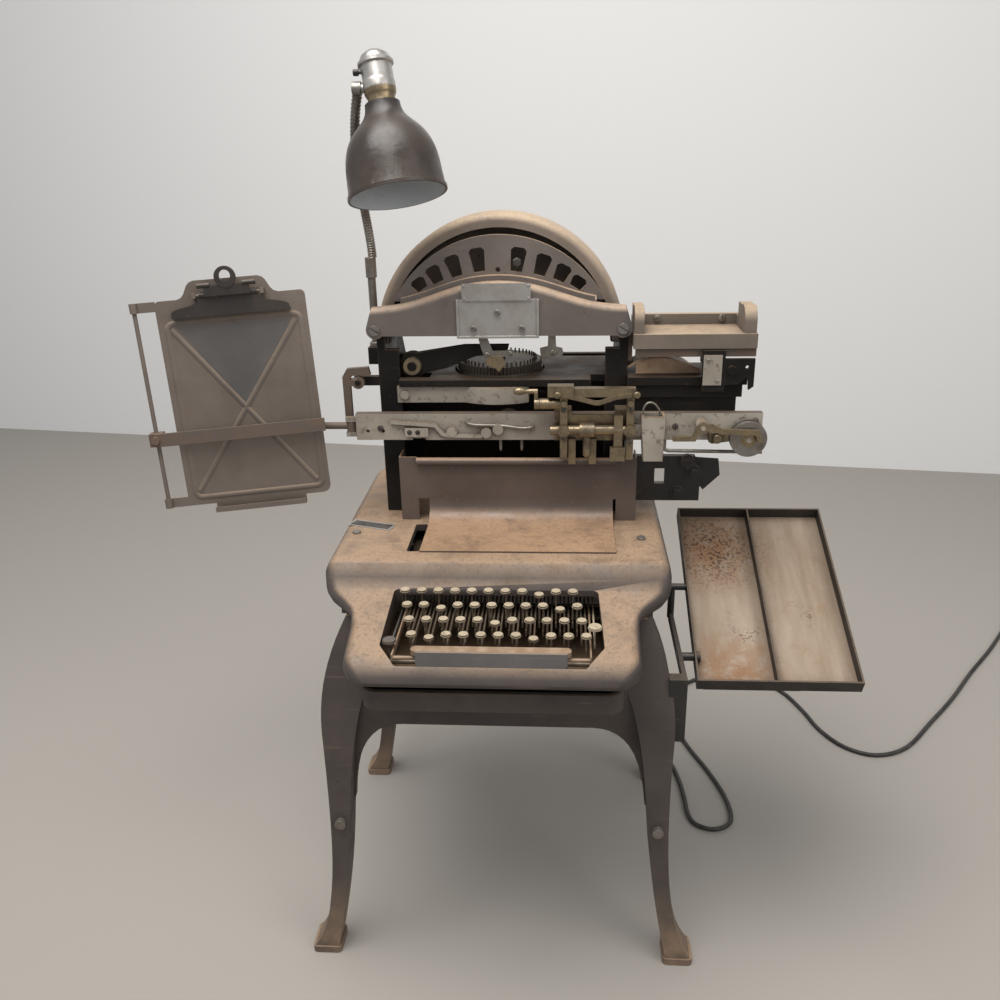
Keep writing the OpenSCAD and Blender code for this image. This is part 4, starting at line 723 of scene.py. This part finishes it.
rail_screws += [small_screw(0.0034, place) for place in front(29, (-155, 853), (-141, 853))]
fitted(joined(rail_screws), "rail_screws", "carriage_rail", dark_tin, 0.0003)
rail_pin_steps = [(0.0028, 0), (0.0028, 0.018), (0.0018, 0.0215), (0.001, 0.0225)]
rail_pins = [turned(rail_pin_steps, at, (0, 0, -1), 12) for at in front(44, (-2, 838.4), (34, 838.4))]
fitted(joined(rail_pins), "rail_pins", "carriage_rail", dull_steel, 0)
thumb_block = cut_plate(
    front(35.4, (344, 854), (368, 854), (377, 848), (377, 839), (350, 835), (344, 838)), (0, -0.013, 0)
)
thumb_screw = turned(
    [(0.0035, 0), (0.0035, 0.003), (0.0075, 0.004), (0.0075, 0.008), (0.006, 0.0095)],
    front(22.4, (357, 845))[0], (0, -1, 0), 20,
)
fitted(joined([thumb_block, thumb_screw]), "thumb_block", "carriage_rail", old_brass, 0.0006)
eased("spring_drum", 0.0012, dull_steel)
hub_steps = [(0.0130, 0), (0.0130, 0.0012), (0.0088, 0.0019), (0.0088, 0.0033)]
drum_hub = turned(hub_steps, (0.407, 0.0121, 0.846), (0, -1, 0), 24)
fitted(drum_hub, "spring_drum_hub", "spring_drum", old_brass, 0.0004)
eased("release_lever", 0.0012, old_brass)


# Carriage: brass posts, a top bar and a tube that slide along the rail, with a swinging handle,
# a feed crank, a light painted box for the plates and a bow shaped spring across the front.
eased("carriage", 0.0008, old_brass)
eased("carriage_handle", 0.0008, old_brass)
eased("feed_crank", 0.001, old_brass)
eased("plate_holder", 0.001, cream_paint)
bow = cut_plate(front(
    1.2, (100, 929), (129, 923), (155, 916), (163, 916), (189, 925), (216, 928), (216, 921), (189, 917),
    (163, 908), (155, 908), (129, 915), (100, 922),
), (0, -0.0028, 0))
knob_steps = [(0.003, 0), (0.003, 0.003), (0.0058, 0.0045), (0.0058, 0.008), (0.004, 0.0098)]
bow_knobs = [turned(knob_steps, place, (0, -1, 0), 16) for place in front(1, (95, 926), (222, 926))]
fitted(joined([bow] + bow_knobs), "bow_spring", "carriage", old_brass, 0.0006)
loop_way = front(6, (234, 888), (234, 900), (240, 909), (248, 910), (257, 902), (261, 893), (262, 888))
holder_loop = wire(loop_way, 0.0018)
fitted(holder_loop, "holder_loop", "plate_holder", dull_steel, 0)
post_screws = [
    small_screw(0.0046, place) for place in front(3, (105, 900), (105, 852), (213, 900), (213, 846))
]
fitted(joined(post_screws), "post_screws", "carriage", dark_tin, 0.0003)


# Front panel: a bent steel sheet with a rolled top edge and an apron that runs out on the deck,
# enamelled brown-grey and rubbed glossy by the operator's knees.
panel_enamel = enamel(
    "panel_enamel", (0.082, 0.060, 0.050, 1), (0.118, 0.089, 0.073, 1), (0.36, 0.225, 0.135, 1), 0.95,
    (0.15, 0.085, 0.05, 1), 0.36
)
eased("front_panel", 0.001, panel_enamel)


# Hopper: a cast bed with end plates on the right side frame, a sliding clamp with a cream front
# plate, the shelf with a curved strip that guides finished plates, and a black lower bracket.
hopper_enamel = enamel(
    "hopper_enamel", (0.130, 0.103, 0.082, 1), (0.198, 0.158, 0.124, 1), (0.36, 0.265, 0.175, 1), 0.95,
    (0.11, 0.068, 0.045, 1), settle=(0.15, 0.8),
)
old_card = scuffed_finish("old_card", (0.36, 0.225, 0.135, 1), (0.47, 0.33, 0.215, 1))
hopper = eased("hopper_bed", 0.002, hopper_enamel)
bed_low_z = 0.9885
retone(hopper, rusty_strap, lambda centre, normal: centre.z < bed_low_z)
bed_screws = [small_screw(0.0062, place) for place in front(128, (262, 1024), (370, 1024))]
fitted(joined(bed_screws), "bed_screws", "hopper_bed", dull_steel, 0.0003)
eased("hopper_clamp", 0.001, dark_iron)
clamp_face = cut_plate(front(40.9, (331, 930), (361, 930), (361, 980), (331, 980)), (0, -0.0016, 0))
face_screws = [small_screw(0.0034, place) for place in front(39.3, (338, 972), (354, 938))]
fitted(joined([clamp_face] + face_screws), "clamp_face", "hopper_clamp", cream_paint, 0.0004)
receiving = eased("receiving_shelf", 0.001, dark_iron)
strip_z = 0.9395
strip_y = 0.08
retone(receiving, old_card, lambda centre, normal: centre.z > strip_z and centre.y > strip_y)
card = cut_plate(front(
    86.8, (226, 939.2), (226, 957), (240, 962), (254, 965), (272, 966), (290, 963), (312, 956), (334, 946),
    (334, 939.2),
), (0, -0.002, 0))
fitted(card, "plate_guide_card", "receiving_shelf", old_card, 0.0005)
eased("lower_bracket", 0.0008, black_enamel)


# Column fittings on the left: the lamp's coupling, the lug of the hook lever and the lever itself,
# a rusty forged strap that turns on one pin.
eased("column_fittings", 0.0012, dark_iron)
eased("hook_lever", 0.001, rusty_strap)


# Copyholder: a pressed sheet with a crossed stiffening panel, on a rusty flat arm, with a side
# rod, a line guide that slides on it and a spring clip with a hanging ring.
rust_brown = (0.15, 0.09, 0.055, 1)
board_paint = enamel(
    "board_paint", (0.104, 0.083, 0.070, 1), (0.160, 0.130, 0.108, 1), (0.24, 0.175, 0.115, 1), 0.8,
    rust_brown, 0.5, settle=(0.05, 0.5),
)
board_place = Matrix.Translation((-0.424, 0.010, 0.916)) @ Matrix.Rotation(math.radians(10), 4, "Z")
board_place = board_place @ Matrix.Rotation(math.radians(-6), 4, "X")
board_place = board_place @ Matrix.Rotation(math.radians(-2.8), 4, "Y")
board = merged("copy_board")
to_board = board_place.inverted()


def low_corner(ends, sides):
    first, second = (to_board @ end for end in ends)
    across = abs(first.y - second.y) > 0.002 and abs(first.x - second.x) < 0.0001
    return across and first.x > 0.119 and first.z < -0.16


bevel_edges(board, low_corner, 0.013, 5)
eased("copy_board", 0.0008, board_paint, piece=board)


def board_point(x, y, z):
    return board_place @ Vector((x / 1000, y / 1000, z / 1000))


bead_r = 0.0048
bead_flat = 0.42
left, right, low, high = -0.106, 0.108, -0.158, 0.134
corner_r = 0.010
rim = []
for corner_x, corner_z, turn in ((right, high, 0), (left, high, 90), (left, low, 180), (right, low, 270)):
    for step in (0, 30, 60, 90):
        a = math.radians(turn + step)
        middle_x = corner_x - math.copysign(corner_r, corner_x)
        middle_z = corner_z - math.copysign(corner_r, corner_z)
        rim.append(Vector((middle_x + corner_r * math.cos(a), 0, middle_z + corner_r * math.sin(a))))
beads = [wire(rim, bead_r, True, "VECTOR")]
for side in (-1, 1):
    cross = ((side * left * 0.93, low * 0.93), (0, (low + high) / 2), (side * right * 0.93, high * 0.93))
    beads.append(wire([Vector((x, 0, z)) for x, z in cross], bead_r))
pressed = joined(beads)
flatten = Matrix.Diagonal((1, bead_flat, 1, 1))
pressed.matrix_world = board_place @ Matrix.Translation((0, 0.0004, 0)) @ flatten
fitted(pressed, "board_beads", "copy_board", board_paint[0], 0)
board_shade = enamel(
    "board_shade", (0.080, 0.073, 0.069, 1), (0.114, 0.102, 0.094, 1), (0.20, 0.145, 0.095, 1), 0.6,
    rust_brown, 0.45,
)
# The upper triangle inside the cross is a thin plate in a darker, greyer coat.
field_push = board_place.to_3x3() @ Vector((0, -0.0004, 0))
field = cut_plate([board_point(x, 0.1, z) for x, z in ((-92, 128), (94, 128), (1, -6))], field_push)
fitted(field, "board_field", "copy_board", board_shade, 0.0001)
clip_brown = enamel(
    "clip_brown", (0.022, 0.018, 0.015, 1), (0.040, 0.030, 0.024, 1), (0.16, 0.11, 0.075, 1), 0.5,
    (0.12, 0.07, 0.042, 1), 0.42
)
eased("board_clip", 0.0009, clip_brown)
eased("copy_arm", 0.001, rusty_strap)
eased("line_guide", 0.0008, rusty_strap)


# Lamp: a steel stem in the column's coupling, a ribbed gooseneck, a nickel socket with a black
# switch knob, and a spun bell shade, bronze-black outside and white enamel within.
bright_nickel = bare_metal(
    "bright_nickel", (0.50, 0.485, 0.46, 1), (0.30, 0.265, 0.225, 1), 0.5, 0.33, 0.95, 0.0, 30
)
shade_bronze = enamel(
    "shade_bronze", (0.018, 0.0155, 0.0145, 1), (0.047, 0.034, 0.026, 1), (0.085, 0.062, 0.045, 1), 0.4,
    (0.12, 0.075, 0.045, 1), 0.3, chips=(0.7, 0.76)
)
shade_white = enamel(
    "shade_white", (0.50, 0.53, 0.56, 1), (0.60, 0.63, 0.66, 1), (0.5, 0.5, 0.5, 1), 0.1,
    (0.3, 0.28, 0.26, 1), 0.35,
)
frosted = enamel(
    "frosted", (0.74, 0.73, 0.70, 1), (0.80, 0.79, 0.76, 1), (0.7, 0.68, 0.62, 1), 0.2,
    (0.6, 0.58, 0.54, 1), 0.3,
)
eased("lamp_stem", 0.0008, dull_steel)
neck_r = 0.008
rib_count = 52
rib_depth = 0.16
neck_knots = [
    Vector(knot) / 1000
    for knot in ((-224, 160, 1127), (-226, 160, 1197), (-245, 120, 1288), (-210, 64, 1382))
]


def neck_point(t):
    a, b, c, d = neck_knots
    s = 1 - t
    return s * s * s * a + 3 * s * s * t * b + 3 * s * t * t * c + t * t * t * d


neck = bpy.data.curves.new("ribbed_neck", "CURVE")
neck.dimensions = "3D"
neck.bevel_depth = neck_r
neck.bevel_resolution = 4
neck.use_fill_caps = True
spline = neck.splines.new("POLY")
spline.points.add(4 * rib_count)
for k, point in enumerate(spline.points):
    point.co = (*neck_point(k / (4 * rib_count)), 1)
    point.radius = 1 - rib_depth * (1 - math.cos(math.pi * k / 2)) / 2
tube = bpy.data.objects.new("ribbed_neck", neck)
bpy.context.collection.objects.link(tube)
only(tube)
bpy.ops.object.convert(target="MESH")
ribbed_neck = fitted(bpy.context.object, "ribbed_neck", "gooseneck", dull_steel, 0, angle=60)
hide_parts("gooseneck")
eased("lamp_switch", 0.0006, black_enamel)
lamp_place = Matrix.Translation((-0.175, 0.062, 1.386)) @ Matrix.Rotation(math.radians(-9.8), 4, "Y")
lamp_place = lamp_place @ Matrix.Rotation(math.radians(-16.5), 4, "X")
to_lamp = lamp_place.inverted()
socket = eased("lamp_socket", 0.0005, bright_nickel, 30)
brass_z = -0.001
shade_neck_z = -0.030
retone(socket, old_brass, lambda centre, normal: (to_lamp @ centre).z < brass_z)
shade = eased("lamp_shade", 0, shade_bronze, 30)


def inside_shade(centre, normal):
    spot = to_lamp @ centre
    aim = to_lamp.to_3x3() @ normal
    return aim.x * spot.x + aim.y * spot.y < 0 and spot.z < shade_neck_z


retone(shade, shade_white, inside_shade)
eased("lamp_bulb", 0, frosted)


# Parts tray: folded sheet with a divider, swung on pins in a black bracket on the right leg.
# The walls are dark enamel, the floor has lost its paint to rust and tan dirt.
tray_place = Matrix.Translation((0.318, -0.130, 0.521)) @ Matrix.Rotation(math.radians(23.5), 4, "X")
rusty_floor, tree, shader = new_finish("rusty_floor")
where = add(tree, "ShaderNodeTexCoord").outputs["Object"]
along = add(tree, "ShaderNodeMapping", {"Vector": where, "Scale": (34, 5, 5)}).outputs[0]
streaks = spread(tree, noise(tree, along, 1, 5, 0.6), 0.35, 0.68)
colour = mixed(tree, streaks, (0.23, 0.168, 0.115, 1), (0.33, 0.262, 0.195, 1))


def close_to(spot, reach):
    inputs = {0: where, 1: tray_place @ Vector(spot)}
    away = add(tree, "ShaderNodeVectorMath", inputs, operation="DISTANCE").outputs["Value"]
    return spread(tree, away, reach, 0.020)


heap = close_to((0.052, 0.246, -0.009), 0.120)
corner = close_to((0.060, -0.030, -0.009), 0.100)
eaten = spread(tree, noise(tree, where, 42, 8, 0.75), 0.34, 0.54)
reach = add(tree, "ShaderNodeMath", {0: heap, 1: corner}, operation="MAXIMUM").outputs[0]
colour = mixed(tree, times(tree, times(tree, reach, eaten), 0.95), colour, (0.225, 0.118, 0.058, 1))
bloom = spread(tree, noise(tree, where, 17, 7, 0.7), 0.56, 0.7)
colour = mixed(tree, times(tree, bloom, 0.5), colour, (0.22, 0.115, 0.055, 1))
sparse = spread(tree, noise(tree, where, 11, 2), 0.62, 0.78)
crowd = add(tree, "ShaderNodeMath", {0: heap, 1: sparse}, operation="MAXIMUM").outputs[0]
spots = times(tree, spread(tree, noise(tree, where, 190, 3), 0.53, 0.58), crowd)
colour = mixed(tree, times(tree, spots, 0.9), colour, (0.040, 0.018, 0.010, 1))
# The floor is darkened by ambient occlusion where walls and divider meet it: painted shade.
inputs = {"Distance": 0.03}
open_air = add(tree, "ShaderNodeAmbientOcclusion", inputs, samples=3, only_local=True).outputs["AO"]
colour = mixed(tree, times(tree, spread(tree, open_air, 0.85, 0.4), 0.6), colour, (0.060, 0.035, 0.020, 1))
tree.links.new(colour, shader.inputs["Base Color"])
tree.links.new(ranged(tree, eaten, 0.55, 0.8), shader.inputs["Roughness"])
bumped(tree, shader, noise(tree, where, 150, 3), 0.2, 0.0008)
tray_paint = enamel(
    "tray_paint", (0.026, 0.022, 0.019, 1), (0.046, 0.038, 0.032, 1), (0.17, 0.12, 0.08, 1), 0.6,
    (0.13, 0.08, 0.05, 1), 0.5, gloss=0.3,
)
eased("tray_bracket", 0.0012, black_enamel)
to_tray = tray_place.inverted()
tray_floor_z = -0.004


def tray_inside(centre, normal):
    aim = to_tray.to_3x3() @ normal
    return aim.z > 0.9 and (to_tray @ centre).z < tray_floor_z


tray = eased("tray", 0.0008, tray_paint)
retone(tray, rusty_floor, tray_inside)


# Floor, backdrop and light: a plain pale floor, a wall that is clear when seen from behind,
# one broad soft lamp above and in front, and a weaker one from the right.
bpy.ops.object.select_all(action="DESELECT")
bpy.ops.mesh.primitive_plane_add(size=12, location=(0, 0, 0))
floor = bpy.context.object
floor.name = "floor"
floor_grey, tree, shader = new_finish("floor_grey")
shader.inputs["Base Color"].default_value = (0.34, 0.315, 0.285, 1)
shader.inputs["Roughness"].default_value = 0.8
floor.data.materials.append(floor_grey)
upright = (math.radians(90), 0, math.radians(-8))
bpy.ops.mesh.primitive_plane_add(size=14, location=(0, 2.45, 3), rotation=upright)
wall = bpy.context.object
wall.name = "wall"
wall_white, tree, shader = new_finish("wall_white")
shader.inputs["Base Color"].default_value = (0.78, 0.775, 0.765, 1)
shader.inputs["Roughness"].default_value = 0.9
clear = add(tree, "ShaderNodeBsdfTransparent").outputs[0]
back_side = add(tree, "ShaderNodeNewGeometry").outputs["Backfacing"]
one_sided = add(tree, "ShaderNodeMixShader", {0: back_side, 1: shader.outputs[0], 2: clear})
tree.links.new(one_sided.outputs[0], tree.nodes["Material Output"].inputs["Surface"])
wall.data.materials.append(wall_white)

world = bpy.data.worlds.new("room")
world.use_nodes = True
world.node_tree.nodes["Background"].inputs["Color"].default_value = (0.93, 0.95, 1.0, 1)
world.node_tree.nodes["Background"].inputs["Strength"].default_value = 0.45
bpy.context.scene.world = world


def soft_lamp(name, place, aim, size, power, colour):
    bpy.ops.object.light_add(type="AREA", location=place)
    lamp = bpy.context.object
    lamp.name = name
    lamp.data.size = size
    lamp.data.energy = power
    lamp.data.color = colour
    lamp.rotation_euler = (Vector(aim) - Vector(place)).to_track_quat("-Z", "Y").to_euler()


soft_lamp("sky_panel", (-0.5, -0.6, 3.5), (0, 0.1, 0.6), 2.4, 128, (1.0, 0.98, 0.95))
soft_lamp("door_light", (2.2, -1.6, 2.2), (0, 0, 0.8), 1.8, 24, (1.0, 0.97, 0.92))
